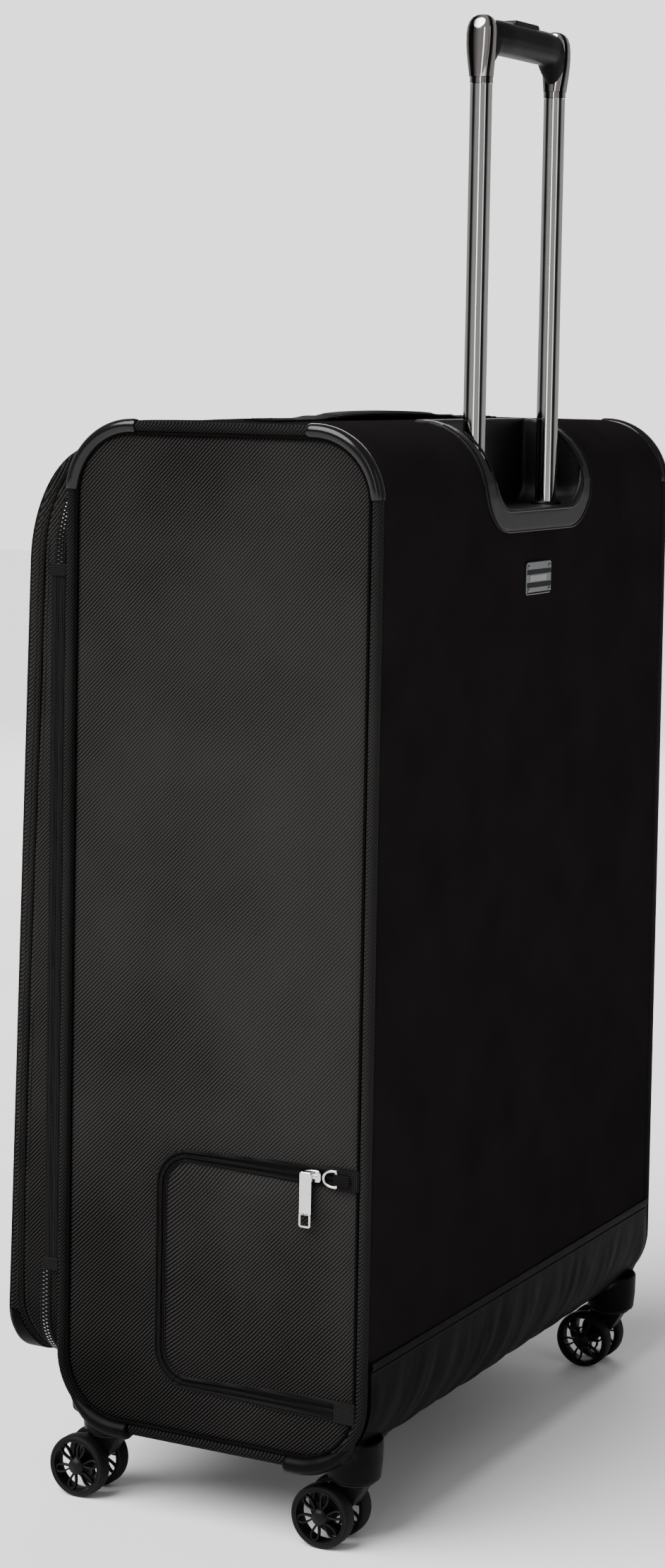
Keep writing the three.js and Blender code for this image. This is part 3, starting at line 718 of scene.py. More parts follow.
def side_relief(side, y, z, edge):
    """How far the side's cloth stands out from its panel: slack, long soft folds, and the pocket."""
    belly = 1.5 * ease(edge / 60)
    tuck = -2.2 * math.exp(-edge / 4)
    folds = 1.5 * wobble(y, z, 120, 3 * side) * ease(edge / 25)
    diagonal = 0.8 * wobble(0.8 * y + 0.6 * z, z - 0.3 * y, 46, 9 * side) * ease(edge / 30)
    slack = 0.5 * wobble(y, z * 0.45, 24, 5 * side) * ease(edge / 12)
    relief = belly + tuck + folds + diagonal + slack
    if side > 0:
        depth = pocket_depth(y, z)
        calm = 1 - math.exp(-(depth / 9) ** 2)
        pucker = 0.55 * wobble(y, z, 9, 4) * math.exp(-((abs(depth) - 9) / 7) ** 2)
        pillow = 1.6 * ease(depth / 22) if depth > 0 else 0
        relief = (relief + pillow) * calm + pucker - 0.2
    return relief


def side_skin(side):
    """The twill side, row by row up its rounded outline."""
    inset = 4.2
    radius = EDGE_R - inset
    low, high = BOTTOM_Z + inset, TOP_Z - inset
    arc = [radius * (1 - math.cos(math.radians(a))) for a in range(0, 90, 6)]
    heights = [low + rise for rise in arc]
    count = round((high - low - 2 * radius) / 3.2)
    heights += [low + radius + (high - low - 2 * radius) * i / count for i in range(count + 1)]
    heights += [high - rise for rise in reversed(arc)]
    columns = 78
    rows = []
    for z in heights:
        beyond = max(low + radius - z, z - (high - radius), 0)
        cut = radius - math.sqrt(max(radius ** 2 - beyond ** 2, 0))
        y0, y1 = FRONT_Y + inset + cut, BACK_Y - inset - cut
        row = []
        for i in range(columns + 1):
            y = y0 + (y1 - y0) * i / columns
            edge = min(y - y0 + 0.35 * cut, y1 - y + 0.35 * cut, z - low, high - z)
            row.append(Vector((side * (SIDE_X + side_relief(side, y, z, max(edge, 0))), y, z)))
        rows.append(row)
    return rows


def skin_outline():
    """The stretch of the case's outline from under the band on the back, over the top, to the front."""
    points = case_ring(4.5, 6)
    start = next(i for i, p in enumerate(points) if p[2] == 1 and p[1] >= BAND_TOP - BAND_LAP)
    end = next(i for i, p in enumerate(points) if p[2] < -0.999 and p[1] <= FRONT_LAP_Z and i > start)
    return points[start:end + 1]


def in_cup(x, y, z):
    """Whether a point of the back or top lies under the cup's rim."""
    if z < CUP_BOTTOM + CUP_LAP or abs(x) > CUP_HALF - CUP_LAP or y < CUP_FRONT_Y:
        return False
    dx, dz = abs(x) - (CUP_HALF - CUP_CORNER_R), (CUP_BOTTOM + CUP_CORNER_R) - z
    return dx < 0 or dz < 0 or math.hypot(dx, dz) < CUP_CORNER_R - CUP_LAP


def back_and_top():
    """One length of fine weave from the band, up the back and over the top."""
    count = 124
    rows = []
    for y, z, ny, nz in skin_outline():
        row = []
        for i in range(count + 1):
            x = SKIN_HALF * (2 * i / count - 1)
            edge = SKIN_HALF - abs(x)
            lift = SKIN_OUT - 2.5 * math.exp(-edge / 3)
            lift += 0.8 * wobble(x, y + z, 110, 2) * ease(edge / 30)
            lift += 0.35 * wobble(x * 0.6, y + z, 30, 7) * ease(edge / 20)
            near_cup = max(abs(x) - CUP_HALF, CUP_BOTTOM - z, 0)
            if ny > 0 or y > 60:
                lift = SKIN_OUT + (lift - SKIN_OUT) * ease(near_cup / 25) if z > 600 else lift
            row.append(Vector((x, y + ny * lift, z + nz * lift)))
        rows.append(row)
    verts, faces = lattice(rows)
    kept = [f for f in faces if not in_cup(*(sum((verts[i] for i in f), Vector()) / 4))]
    return verts, kept


def base_skin():
    """The moulded tray under the case, with lengthwise skid ribs."""
    points = case_ring(6, 6)
    top = BAND_TOP - BAND_LAP
    turn = next(i for i, p in enumerate(points) if p[2] == 1 and p[1] > top)
    front = next(i for i, p in enumerate(points) if p[2] < -0.999 and p[1] < top)
    count = 164
    rows = []
    for y, z, ny, nz in points[front:] + points[:turn + 1]:
        row = []
        for i in range(count + 1):
            x = SKIN_HALF * (2 * i / count - 1)
            rib = abs(x) < 150 and abs((x + 150) % 50 - 25) < 5
            lift = SKIN_OUT - 0.6 + (1.4 if rib and nz < -0.9 else 0)
            row.append(Vector((x, y + ny * lift, z + nz * lift)))
        rows.append(row)
    return lattice(rows)


def base_band():
    """Leatherette round the lower back edge, gathered in soft puckers below its seam."""
    points = case_ring(3, 4)
    turn = next(i for i, p in enumerate(points) if p[2] == 1 and p[1] > BAND_TOP)
    start = next(i for i, p in enumerate(points) if i > turn and p[3] < -0.999 and p[0] > 55)
    count = 190
    underside = BOTTOM_Z + 0.5
    rows = []
    for y, z, ny, nz in points[start:] + points[:turn + 1]:
        row = []
        for i in range(count + 1):
            x = SKIN_HALF * (2 * i / count - 1)
            below = max(BAND_TOP - z, 0) if z > underside else BAND_TOP - BOTTOM_Z
            taper = ease(below / 26)
            lean = x + 0.55 * z
            pucker = 1.9 * abs(wobble(lean, z * 0.22, 34, 11)) + 0.9 * abs(wobble(lean, z * 0.3, 15, 12))
            welt = 1.1 * math.exp(-((below - 2.2) / 1.8) ** 2) - 0.7 * math.exp(-((below - 6) / 1.6) ** 2)
            edge = SKIN_HALF - abs(x)
            lift = SKIN_OUT + 0.7 + welt + (0.6 + pucker) * taper * ease(edge / 10)
            if z < underside:
                lift = SKIN_OUT + 0.9 + 0.4 * pucker * ease((y - 60) / 20)
            row.append(Vector((x, y + ny * lift, z + nz * lift)))
        rows.append(row)
    return lattice(rows)


def wheel_housing(end, side):
    """Horn-shaped lip round a lower corner, the plate under the case, and the tower over the caster."""
    back = end == "back"
    centre_y = BACK_Y - EDGE_R if back else FRONT_Y + EDGE_R
    centre_z = BOTTOM_Z + EDGE_R
    near = [p for p in case_ring(2, 5) if p[1] < BOTTOM_Z + HOUSING_RISE
            and (p[0] > BACK_Y - HOUSING_REACH if back else p[0] < FRONT_Y + HOUSING_REACH)]
    near.sort(key=lambda p: math.atan2(p[1] - centre_z, p[0] - centre_y))
    lip, plate = [], []
    for i, (y, z, ny, nz) in enumerate(near):
        t = i / (len(near) - 1)
        blunt, sharp = (t, 1 - t) if back else (1 - t, t)
        size = math.sqrt(min(blunt / 0.05, 1)) * min(0.22 + 0.95 * (sharp / 0.5) ** 0.8, 1)
        core = Vector((side * (HALF_WIDTH + 0.6), y + ny * 1.4, z + nz * 1.4))
        out, across = Vector((side, 0, 0)), Vector((0, ny, nz))
        lip.append([core + out * (7.6 * size * c) + across * (6.6 * size * s) for c, s in circle(1, 20)])
        reach = 8 + 50 * (ease(sharp / 0.5) if not back else 1 - 0.4 * ease((t - 0.6) / 0.4))
        lift = 4.4 * min(size + 0.2, 1)
        inner = Vector((side * (HALF_WIDTH - reach), y, z))
        outer = Vector((side * HALF_WIDTH, y, z))
        plate.append([outer + across * 1.5, outer + across * (2.6 + lift), inner + across * (1.6 + lift),
                      inner + across * 1.5])
    shelf = []
    for i in range(25):
        t = i / 24
        theta = math.radians(-48 + 6 * t)
        ny, nz = math.cos(theta) * (1 if back else -1), math.sin(theta)
        size = math.sqrt(min((1 - t) / 0.08, 1)) * (1 - 0.45 * t)
        drop = EDGE_R + 4.5
        core = Vector((side * (HALF_WIDTH - 1 - 58 * t), centre_y + ny * drop, centre_z + nz * drop))
        normal, along = Vector((0, ny, nz)), Vector((0, -nz, ny))
        shelf.append([core + normal * (6.0 * size * c) + along * (6.4 * size * s) for c, s in circle(1, 16)])
    tower = [bean(Vector((side * SWIVEL_X, SWIVEL_Y[end], z)), r, r, 2)
             for z, r in ((47.2, 17.4), (48.2, 18.4), (60, 19.6), (76, 20))]
    return merged(*(lattice(rows, ring=True) for rows in (lip, plate, shelf, tower)))


def top_sleeve(end, side):
    """Square-cut plastic sleeve over the piping at an upper corner."""
    reach = SLEEVE_REACH[end]
    corner = [p for p in case_ring(1.5, 4.5) if p[1] > TOP_Z - SLEEVE_DROP
              and (p[0] > BACK_Y - reach if end == "back" else p[0] < FRONT_Y + reach)]
    rows = []
    for i, (p, out, across) in enumerate(side_path(corner, side * HALF_WIDTH, side)):
        radius = 5.3 if 0 < i < len(corner) - 1 else 4.8
        rows.append([p + out * a + across * c for a, c in circle(radius, 24)])
    return lattice(rows, ring=True)


def make_side(word, side):
    """One twill side with its piping, upper sleeves and wheel housings."""
    cover(f"side_cloth_{word}", lattice(side_skin(side)), TWILL, 4.0, LINING,
          "case", [f"side_panel_{word}"])
    ring = case_ring(5, 6)
    cord = sweep(side_path(ring, side * HALF_WIDTH, side), circle(PIPING_R, 18), loop=True)
    piece(f"piping_cord_{word}", cord, PIPING_TWILL, "case", [f"piping_{word}"])
    # A bead along the seam beside the piping: a flange whose near-black colour is painted shade of the
    # groove.
    flange = [(p - across * (PIPING_R + 0.9), out, across)
              for p, out, across in side_path(ring, side * (HALF_WIDTH + 1.6), side)]
    piece(f"piping_flange_painted_shade_{word}", sweep(flange, circle(1.25, 10), loop=True), FLANGE_PAINTED_SHADE, "case")
    for end in ENDS:
        piece(f"top_sleeve_{end}_{word}", top_sleeve(end, side), SLEEVE_PLASTIC, "case",
              [f"top_guard_{end}_{word}"])
        housing = bare_object(f"wheel_housing_{end}_{word}", *wheel_housing(end, side), [HOUSING])
        melt(housing, 1.2, 9)
        belong(housing, "case", [f"wheel_guard_{end}_{word}"], 60)


def make_case():
    for word, side in SIDES.items():
        make_side(word, side)
    cover("back_cloth", back_and_top(), BACK_WEAVE, 3.2, LINING,
          "case", ["back_panel", "top_panel"])
    cover("base_tray", base_skin(), CUP_PLASTIC, 2.6, LINING,
          "case", ["bottom_tray"])
    cover("base_wrap", base_band(), LEATHERETTE, 0.6, None,
          "case", ["base_band"], 60)
    seam = [Vector((x, BACK_Y + SKIN_OUT + 0.9, BAND_TOP - 6)) for x in (-244, 244)]
    piece("band_stitching", stitches(seam, lambda p: Vector((0, 1, 0)), 3.4, 0.4), THREAD, "case")
    repaint("front_frame", BACK_WEAVE)


# ---------------------------------------------------------------- zip hardware and the side pocket


def zip_slider(place, u, v, height, way):
    """Slider body over (u, v) with its bridge; way is the unit (u, v) direction of its nose."""
    du, dv = way

    def shifted(a, b):
        return u + a * du - b * dv, v + a * dv + b * du

    body = []
    for a, b, na, nb in rounded(-6.5, 6.5, -4.2, 4.2, 2.6, 2.6, 3, 18):
        pinch = 1 - 0.24 * max(-a, 0) / 6.5
        uu, vv = shifted(a, b * pinch)
        body.append((uu, vv, na * du - nb * dv, na * dv + nb * du))
    plate = slab(body, place, height, height + 1.5, 0.5)
    bridge_path = []
    for i in range(13):
        t = math.pi * i / 12
        uu, vv = shifted(-4.2 * math.cos(t), 0)
        bridge_path.append(place(uu, vv, height + 1.1 + 1.7 * math.sin(t)))
    across = place(*shifted(0, 1), height) - place(*shifted(0, 0), height)
    return merged(plate, sweep(track(bridge_path, across), strip_section(0.6, 1.3, 0.4)))


def plate_path(place, outline, height):
    """An outline of (u, v, nu, nv) on a plate as a path whose out direction leaves the plate."""
    return [(place(u, v, height), place(u, v, 1) - place(u, v, 0), place(u + nu, v + nv, 0) - place(u, v, 0))
            for u, v, nu, nv in outline]


def pull_plate(place, u0, u1, v0, v1, low, high, hole=None):
    """A flat zip pull: with a raised rim, or with a window (u0, u1, v0, v1) and a frame round it."""
    if not hole:
        inner = rounded(u0 + 0.8, u1 - 0.8, v0 + 0.8, v1 - 0.8, 0.9, 0.9, 2, 22.5)
        rim = sweep(plate_path(place, inner, high - 0.15), circle(0.42, 8), loop=True)
        outer = rounded(u0, u1, v0, v1, 1.5, 1.5, 2.0, 22.5)
        return merged(slab(outer, place, low, high - 0.2, 0.35), rim)
    h0, h1, w0, w1 = hole
    solid = slab(rounded(u0, u1, w1, v1, 1.2, 1.5, 2.0, 22.5), place, low, high, 0.35)
    middle = rounded((u0 + h0) / 2, (u1 + h1) / 2, (v0 + w0) / 2, w1 + 0.8, 1.2, 1.2, 2, 22.5)
    bar = strip_section((high - low) / 2, (h0 - u0) / 2, 0.3)
    return merged(solid, sweep(plate_path(place, middle, (low + high) / 2), bar, loop=True))


def pocket_line(step=4.0):
    """The pocket zip's middle line, from its lower end round the front to its upper end."""
    past_back = 400
    ring = rounded(ZIP_FRONT, past_back, ZIP_BOTTOM, ZIP_TOP, ZIP_CORNER_R, ZIP_CORNER_R, step, 7.5)
    return [p for p in reversed(ring) if p[0] <= ZIP_BACK]


def pocket_width(y):
    """The tape is drawn narrow round the front of the pocket and opens out towards its two ends."""
    return 0.6 + 0.4 * ease((y - 5) / 90)


def make_side_pocket():
    """The pocket's tape, coil, stitching, end tabs, slider and puller on +X."""
    base = SIDE_X + 0.4
    tape = sweep([(p, out, across * pocket_width(p.y))
                  for p, out, across in side_path(pocket_line(), base - 0.3, 1)],
                 welted_bar(15.0, 4.9, 1.45))
    piece("pocket_tape", tape, TAPE, "case", ["side_zip"])
    coil = []
    for i, (p, out, across) in enumerate(side_path(pocket_line(0.9), base + 0.9, 1)):
        radius = 1.35 if i % 2 else 1.0
        coil.append([p + out * (a * radius * 0.75) + across * (c * radius * 1.15) for a, c in circle(1, 8)])
    piece("pocket_coil", lattice(coil, ring=True), TAPE, "case")
    rows = []
    for off in (-6.9, 6.9):
        seam = [p + across * (off * pocket_width(p.y))
                for p, _, across in side_path(pocket_line(2.0), base + 0.35, 1)]
        rows.append(stitches(seam, lambda p: Vector((1, 0, 0)), 2.6, 0.36))
    piece("pocket_stitching", merged(*rows), THREAD, "case")
    # Turned-over tabs that close the two ends of the tape beside the piping.
    for word, z in (("upper", ZIP_TOP), ("lower", ZIP_BOTTOM)):
        tab = slab(rounded(125, 141, z - 7.6, z + 7.6, 2, 2, 3, 30), on_side(1), base, base + 2.3, 0.9)
        piece(f"pocket_tab_{word}", tab, HINGE_WEAVE, "case")
    low, high = box_mm("side_slider")
    slider = zip_slider(on_side(1), (low[1] + high[1]) / 2, (low[2] + high[2]) / 2, low[0], (1, 0))
    piece("pocket_slider", slider, ZIP_METAL, "side_slider", ["side_slider"])
    low, high = box_mm("side_pull")
    hole = (low[1] + 1.5, high[1] - 1.5, low[2] + 1.6, low[2] + 8.6)
    pull = pull_plate(on_side(1), low[1], high[1], low[2], high[2], low[0], high[0], hole)
    piece("pocket_pull", pull, ZIP_METAL, "side_pull", ["side_pull"])


def make_ring():
    """The D-ring, whose straight bar lies on its joint, and the webbing folded round that bar."""
    low, high = box_mm("d_ring")
    wire = 1.0
    x, y, z = (low[0] + high[0]) / 2, high[1] - wire / 2, (low[2] + high[2]) / 2
    half, depth = (high[2] - low[2]) / 2 - wire, y - low[1] - wire
    ring = [Vector((x, y, z + half * (i / 6 - 1))) for i in range(12)]
    for i in range(29):
        a = math.radians(90 - 180 * i / 28)
        ring.append(Vector((x, y - depth * math.cos(a) ** 0.7, z + half * math.sin(a))))
    piece("ring_wire", sweep(closed_track(ring, (1, 0, 0)), circle(wire, 12), loop=True), ZIP_METAL,
          "d_ring", ["d_ring"])
    end_y = box_mm("ring_loop")[1][1]
    turn_r = wire + 0.65
    fold = [Vector((x + turn_r, end_y, z))]
    for i in range(19):
        a = math.pi * (i / 18 - 0.5)
        fold.append(Vector((x - turn_r * math.sin(a), y - turn_r * math.cos(a), z)))
    fold.append(Vector((x - turn_r, end_y, z)))
    loop = sweep(track(fold, (0, 0, 1)), strip_section(0.35, 3.8, 0.3, 4))
    piece("ring_strap", loop, TAPE, "case", ["ring_loop"])


# ---------------------------------------------------------------- cup, plate and trolley


def over_back(x, z, grow):
    """Point and outward direction on the back at a height, or on the rounded edge above it."""
    start = TOP_Z - EDGE_R
    if z <= start:
        return Vector((x, BACK_Y + grow, z)), Vector((0, 1, 0))
    rise = min((z - start) / (EDGE_R + grow), 1.0)
    a = math.asin(rise)
    y = BACK_Y - EDGE_R + (EDGE_R + grow) * math.cos(a)
    return Vector((x, y, z)), Vector((0, math.cos(a), math.sin(a)))


def cup_rim(inset, grow, top_z):
    """The U line of the cup's rim as (point, out, across)."""
    half, bottom, radius = CUP_HALF - inset, CUP_BOTTOM + inset, CUP_CORNER_R - inset
    flat = [(-half, top_z - (top_z - bottom - radius) * i / 22, -1, 0) for i in range(22)]
    for i in range(25):
        a = math.pi + math.pi / 2 * i / 24
        flat.append((-half + radius + radius * math.cos(a), bottom + radius + radius * math.sin(a),
                     math.cos(a), math.sin(a)))
    flat += [(-half + radius + (half - radius) * i / 6, bottom, 0, -1) for i in range(1, 6)]
    flat += [(-x, z, -nx, nz) for x, z, nx, nz in reversed(flat)]
    path = []
    for x, z, nx, nz in flat:
        point, out = over_back(x, z, grow)
        path.append((point, out, Vector((nx, 0, 0)) + nz * out.cross(Vector((-1, 0, 0)))))
    return path


def make_cup():
    softened("trolley_cup", "cup_shell", CUP_PLASTIC, 1.3, 5, "case", 50)
    edge = sweep(cup_rim(1.2, SKIN_OUT + 2.5, 763.2), circle(0.7, 10))
    inner = sweep(cup_rim(15.6, SKIN_OUT + 2.0, 758), circle(0.9, 10))
    piece("cup_rim_beads", merged(edge, inner), GUARD, "case")
    profile = [(TUBE_R + 0.9, 703), (TUBE_R + 3.2, 703), (TUBE_R + 3.2, 704.2), (TUBE_R + 2.4, 705.2),
               (TUBE_R + 0.9, 705.2)]
    collars = [lathe(profile, 48, upright(side * TUBE_X, TUBE_Y)) for side in SIDES.values()]
    piece("cup_collars", merged(*collars), GUARD, "case")
    front = [Vector((x, CUP_FRONT_Y - 3, TOP_Z + SKIN_OUT + 0.5)) for x in (-CUP_HALF + 4, CUP_HALF - 4)]
    section = [(p[1], p[0]) for p in rounded(-1.4, 1.4, -1.2, 0.8, 0.6, 0.6, 3, 30)]
    piece("cup_front_lip", sweep(track(front, (0, 1, 0)), section), GUARD, "case")


def make_plate():
    """Blank identity plate: a bevelled metal plate with plain bars, a blank label and four domed rivets."""
    low, high = box_mm("id_plate")
    base = low[1]
    plate = slab(rounded(low[0], high[0], low[2], high[2], 2.4, 2.4, 4, 15), on_back, base, base + 1.3, 0.4)
    dome = [(1.5, 0), (1.425, 0.35), (0.9, 0.75), (0.01, 0.9), (0.01, 0)]
    rivets = []
    for x in (low[0] + 3.4, high[0] - 3.4):
        for z in (low[2] + 3.4, high[2] - 3.4):
            rivets.append(lathe(dome, 20, lambda u, v, h: Vector((x + u, base + 1.3 + h, z + v))))
    piece("plate_metal", merged(plate, *rivets), PLATE_METAL, "case", ["id_plate"])
    bars = [slab(rounded(low[0] + 1, high[0] - 1, low[2] + z0, low[2] + z1, 0.8, 0.8, 4, 30), on_back,
                 base + 1.2, base + 1.55, 0.15) for z0, z1 in ((0.8, 1.8), (5.2, 9.0), (14.8, 18.4))]
    piece("plate_bars", merged(*bars), HOUSING, "case")
    outline = rounded(-13, 16, low[2] + 9.8, low[2] + 14.2, 0.6, 0.6, 4, 30)
    label = slab(outline, on_back, base + 1.2, base + 1.6, 0.15)
    piece("plate_label", label, LABEL, "case")


def bean(centre, half_x, half_y, power):
    """Points of a level superellipse round a centre."""
    sides = 40
    row = []
    for i in range(sides):
        a = 2 * math.pi * i / sides
        c, s = math.cos(a), math.sin(a)
        x = half_x * math.copysign(abs(c) ** (2 / power), c)
        y = half_y * math.copysign(abs(s) ** (2 / power), s)
        row.append(centre + Vector((x, y, 0)))
    return row


def elbow(side):
    """Bean-shaped chromed end piece: as wide as the tube at its foot, fuller towards its domed top."""
    profile = ((1009, 8.5, 8.5, 0.0), (1012, 8.8, 8.6, 0.2), (1018, 9.6, 8.4, 0.6), (1025, 10.4, 8.2, 1.0),
               (1032, 10.9, 8.0, 1.2), (1039, 11.0, 7.9, 1.0), (1044, 10.6, 7.6, 0.6), (1048, 9.4, 6.9, 0.0),
               (1050.6, 7.6, 5.8, -0.6), (1052.2, 5.2, 4.2, -1.2), (1053, 2.4, 2.0, -1.6),
               (1053.2, 0.4, 0.4, -1.7))
    rows = []
    for z, half_y, half_x, out in profile:
        centre = Vector((side * (TUBE_X + 0.4 + out), TUBE_Y, z))
        rows.append(bean(centre, half_x, half_y, 2.3))
    return lattice(rows, ring=True)


def grip_body():
    """Grip between the two end pieces: a ridge along each face, and a leg down to each tube."""
    rows = []
    for i in range(61):
        x = 60 * (i / 30 - 1)
        leg = ease((abs(x) - 49) / 10)
        top = 1051.2 - 1.4 * ease((abs(x) - 40) / 20)
        foot = 1027 - 15 * leg
        half = 11.6 - 2.2 * ease((abs(x) - 30) / 30)
        row = []
        for k in range(48):
            a = 2 * math.pi * k / 48
            c, s = math.cos(a), math.sin(a)
            rise = math.copysign(abs(s) ** 0.8, s)
            z = (top + foot) / 2 + (top - foot) / 2 * rise
            ridge = 0.9 * math.exp(-((z - 1038.5) / 1.1) ** 2)
            narrow = 1 - 0.42 * ease((1028 - z) / 16)
            row.append(Vector((x, TUBE_Y + (half * narrow + ridge) * math.copysign(abs(c) ** 0.75, c), z)))
        rows.append(row)
    return lattice(rows, ring=True)


def make_trolley():
    tube_top = COLLAR_Z - 0.3
    wall = [(TUBE_R - 1.2, TUBE_BOTTOM), (TUBE_R, TUBE_BOTTOM), (TUBE_R, tube_top), (TUBE_R - 1.2, tube_top)]
    band = [(TUBE_R, COLLAR_Z - 5), (TUBE_R + 0.3, COLLAR_Z - 4.7), (TUBE_R + 0.3, COLLAR_Z - 0.3),
            (TUBE_R, COLLAR_Z)]
    for word, side in SIDES.items():
        place = upright(side * TUBE_X, TUBE_Y)
        piece(f"chrome_tube_{word}", lathe(wall, 72, place), CHROME, "trolley",
              [f"handle_tube_{word}"], 50)
        piece(f"collar_{word}", lathe(band, 56, place), CAP_CHROME, "trolley")
        piece(f"elbow_{word}", elbow(side), CAP_CHROME, "trolley", [f"grip_cap_{word}"], 60)
        repaint(f"outer_tube_{word}", STEEL)
    piece("grip_moulding", grip_body(), GRIP_PLASTIC, "trolley", ["grip"], 60)
    softened("release_button", "grip_button", CUP_PLASTIC, 0.7, 3, "release_button", 60)


# ---------------------------------------------------------------- lid


def lid_ring(step=7.0):
    """The lid's outline as (x, z, normal x, normal z)."""
    return rounded(-LID_HALF, LID_HALF, LID_BOTTOM, LID_TOP, LID_BOTTOM_R, LID_TOP_R, step, 5)


def lid_face_y(z):
    """The lid gets deeper towards its foot."""
    return -128.5 - 13.5 * (LID_TOP - z) / (LID_TOP - LID_BOTTOM)


def lid_seam_y(z):
    return -117.5 - 11.5 * ease((LID_TOP - z) / 560) + 12 * ease((140 - z) / 44)


def lid_shell():
    """Gusset and front of the lid as one skin, with a pinched seam round the gusset."""
    outline = lid_ring()
    rows = []
    for kind, shift, out in (("back", 0, 0.2), ("back", -4, 0.9), ("seam", 5, 1.3), ("seam", 1.6, 0.6),
                             ("seam", 0, -1.0), ("seam", -1.6, 0.6), ("seam", -3.2, 0.9)):
        row = []
        for x, z, nx, nz in outline:
            y = (LID_BACK_Y if kind == "back" else lid_seam_y(z)) + shift
            slack = 0.9 * wobble(x + y, z, 38, 21) * (0.2 if kind == "back" else 1)
            row.append(Vector((x + nx * (out + slack), y, z + nz * (out + slack))))
        rows.append(row)
    corner = LID_CORNER
    for i in range(7):
        a = math.pi / 2 * i / 6
        row = []
        for x, z, nx, nz in outline:
            reach = 0.8 - corner * (1 - math.cos(a)) + 0.7 * wobble(x, z, 45, 22)
            y = lid_face_y(z) + corner * (1 - math.sin(a))
            row.append(Vector((x + nx * reach, y, z + nz * reach)))
        rows.append(row)
    for t in (0.06, 0.13, 0.22, 0.34, 0.5, 0.68, 0.86, 1.0):
        row = []
        for x, z, nx, nz in outline:
            px, pz = x - nx * (corner - 0.8), z - nz * (corner - 0.8)
            spine = min(max(pz, LID_BOTTOM + 210), LID_TOP - 230)
            qx, qz = px - px * t, pz + (spine - pz) * t
            crown = 3.2 * math.sin(min(t * 2.2, 1) * math.pi / 2)
            ripple = 1.1 * wobble(qx, qz, 90, 23) * ease(t * 6)
            row.append(Vector((qx, lid_face_y(qz) - crown + ripple, qz)))
        rows.append(row)
    return lattice(rows, ring=True, capped=False)


def seam_line(shift, out):
    """Points round the lid's gusset at a distance from its pinched seam, as (point, out, across)."""
    across = Vector((0, 1, 0))
    return [(Vector((x + nx * out, lid_seam_y(z) + shift, z + nz * out)), Vector((nx, 0, nz)), across)
            for x, z, nx, nz in lid_ring(3.0)]


def zip_line_y(z):
    """The main zip runs beside the piping at the top and away from it towards the foot."""
    return -104.0 - 5.4 * ease((660 - z) / 480)


def main_zip_path(step, shift, out):
    """From the hinge tape's upper end over the lid, down -X and under the lid to the tape's lower end."""
    ring = lid_ring(step)
    near_hinge = LID_HALF - 12
    start = next(i for i, p in enumerate(ring) if p[0] > near_hinge and p[2] > 0.99 and p[1] > HINGE_LOW)
    path = []
    for x, z, nx, nz in ring[start:] + ring[:start]:
        if x <= near_hinge or not HINGE_LOW < z < HINGE_HIGH:
            point = Vector((x + nx * out, zip_line_y(z) + shift, z + nz * out))
            path.append((point, Vector((nx, 0, nz)), Vector((0, 1, 0))))
    return path


def teeth(path, pitch, row, body_out):
    """Moulded zip teeth along a path; row is -1 or 1 for the lid's or the case's half."""
    parts = []
    for i, point, way in paces([p for p, _, _ in path], pitch, pitch * (0.5 if row > 0 else 1.0)):
        _, out, across = path[i]
        centre = point + across * (row * 1.25) + out * body_out
        rows = []
        for h, k in ((-0.1, 1.0), (0.5, 1.0), (0.8, 0.6)):
            rows.append([centre + out * h + way * (a * k) + across * (c * k)
                         for a, c in ((-0.55, -0.85), (0.55, -0.85), (0.55, 0.85), (-0.55, 0.85))])
        parts.append(lattice(rows, ring=True))
    return merged(*parts)


def lid_front_piping():
    """Thin piping round the lid's front, just inside its rounded edge."""
    a = math.radians(72)
    path = []
    for x, z, nx, nz in lid_ring(4):
        reach = 0.9 - LID_CORNER * (1 - math.cos(a))
        y = lid_face_y(z) + LID_CORNER * (1 - math.sin(a))
        out = Vector((nx, 0, nz)) * math.cos(a) + Vector((0, -1, 0)) * math.sin(a)
        path.append((Vector((x + nx * reach, y, z + nz * reach)), out, Vector((-nz, 0, nx)).cross(out)))
    return sweep(path, circle(1.5, 12), loop=True)


def make_lid():
    cover("lid_cloth", lid_shell(), LID_TWILL, 3.0, LINING, "lid", ["lid_shell"])
    piece("lid_welt", sweep(seam_line(0, 0.2), circle(1.1, 10), loop=True), TAPE, "lid")
    piece("lid_front_piping", lid_front_piping(), PIPING_TWILL, "lid")
    piece("main_zip_tape", sweep(main_zip_path(5, 0, 0.9), flat_bar(9.0, 0.7, 0.3)), TAPE, "lid")
    chain = main_zip_path(2, 0, 1.5)
    piece("main_zip_teeth_lid", teeth(chain, 2.9, -1, 0), TEETH_METAL, "lid")
    piece("main_zip_teeth_case", teeth(chain, 2.9, 1, 0), TEETH_METAL, "lid")
    rows = []
    for shift in (-3.3, 3.3):
        rows.append(stitches([p for p, _, _ in main_zip_path(2.5, shift, 1.7)], lid_outward, 3.0, 0.36))
    for shift in (-4.2, 4.2):
        ring = [p for p, _, _ in seam_line(shift, 1.3)]
        rows.append(stitches(ring + ring[:1], lid_outward, 3.2, 0.38))
    piece("lid_stitching", merged(*rows), THREAD, "lid")
    make_zip_band()
    make_hinge_tape()
    make_corner_patches()
    make_front_pockets()
    for word in ("upper", "lower"):
        slider = f"main_slider_{word}"
        low, high = box_mm(slider)
        shape = zip_slider(on_side(-1), (low[1] + high[1]) / 2, (low[2] + high[2]) / 2, -high[0], (0, 1))
        piece(f"main_runner_{word}", shape, ZIP_METAL, slider, [slider])
        pull = f"main_pull_{word}"
        low, high = box_mm(pull)
        shape = pull_plate(on_side(-1), low[1], high[1], low[2], high[2], -high[0], -low[0])
        piece(f"main_tag_{word}", shape, ZIP_METAL, pull, [pull])


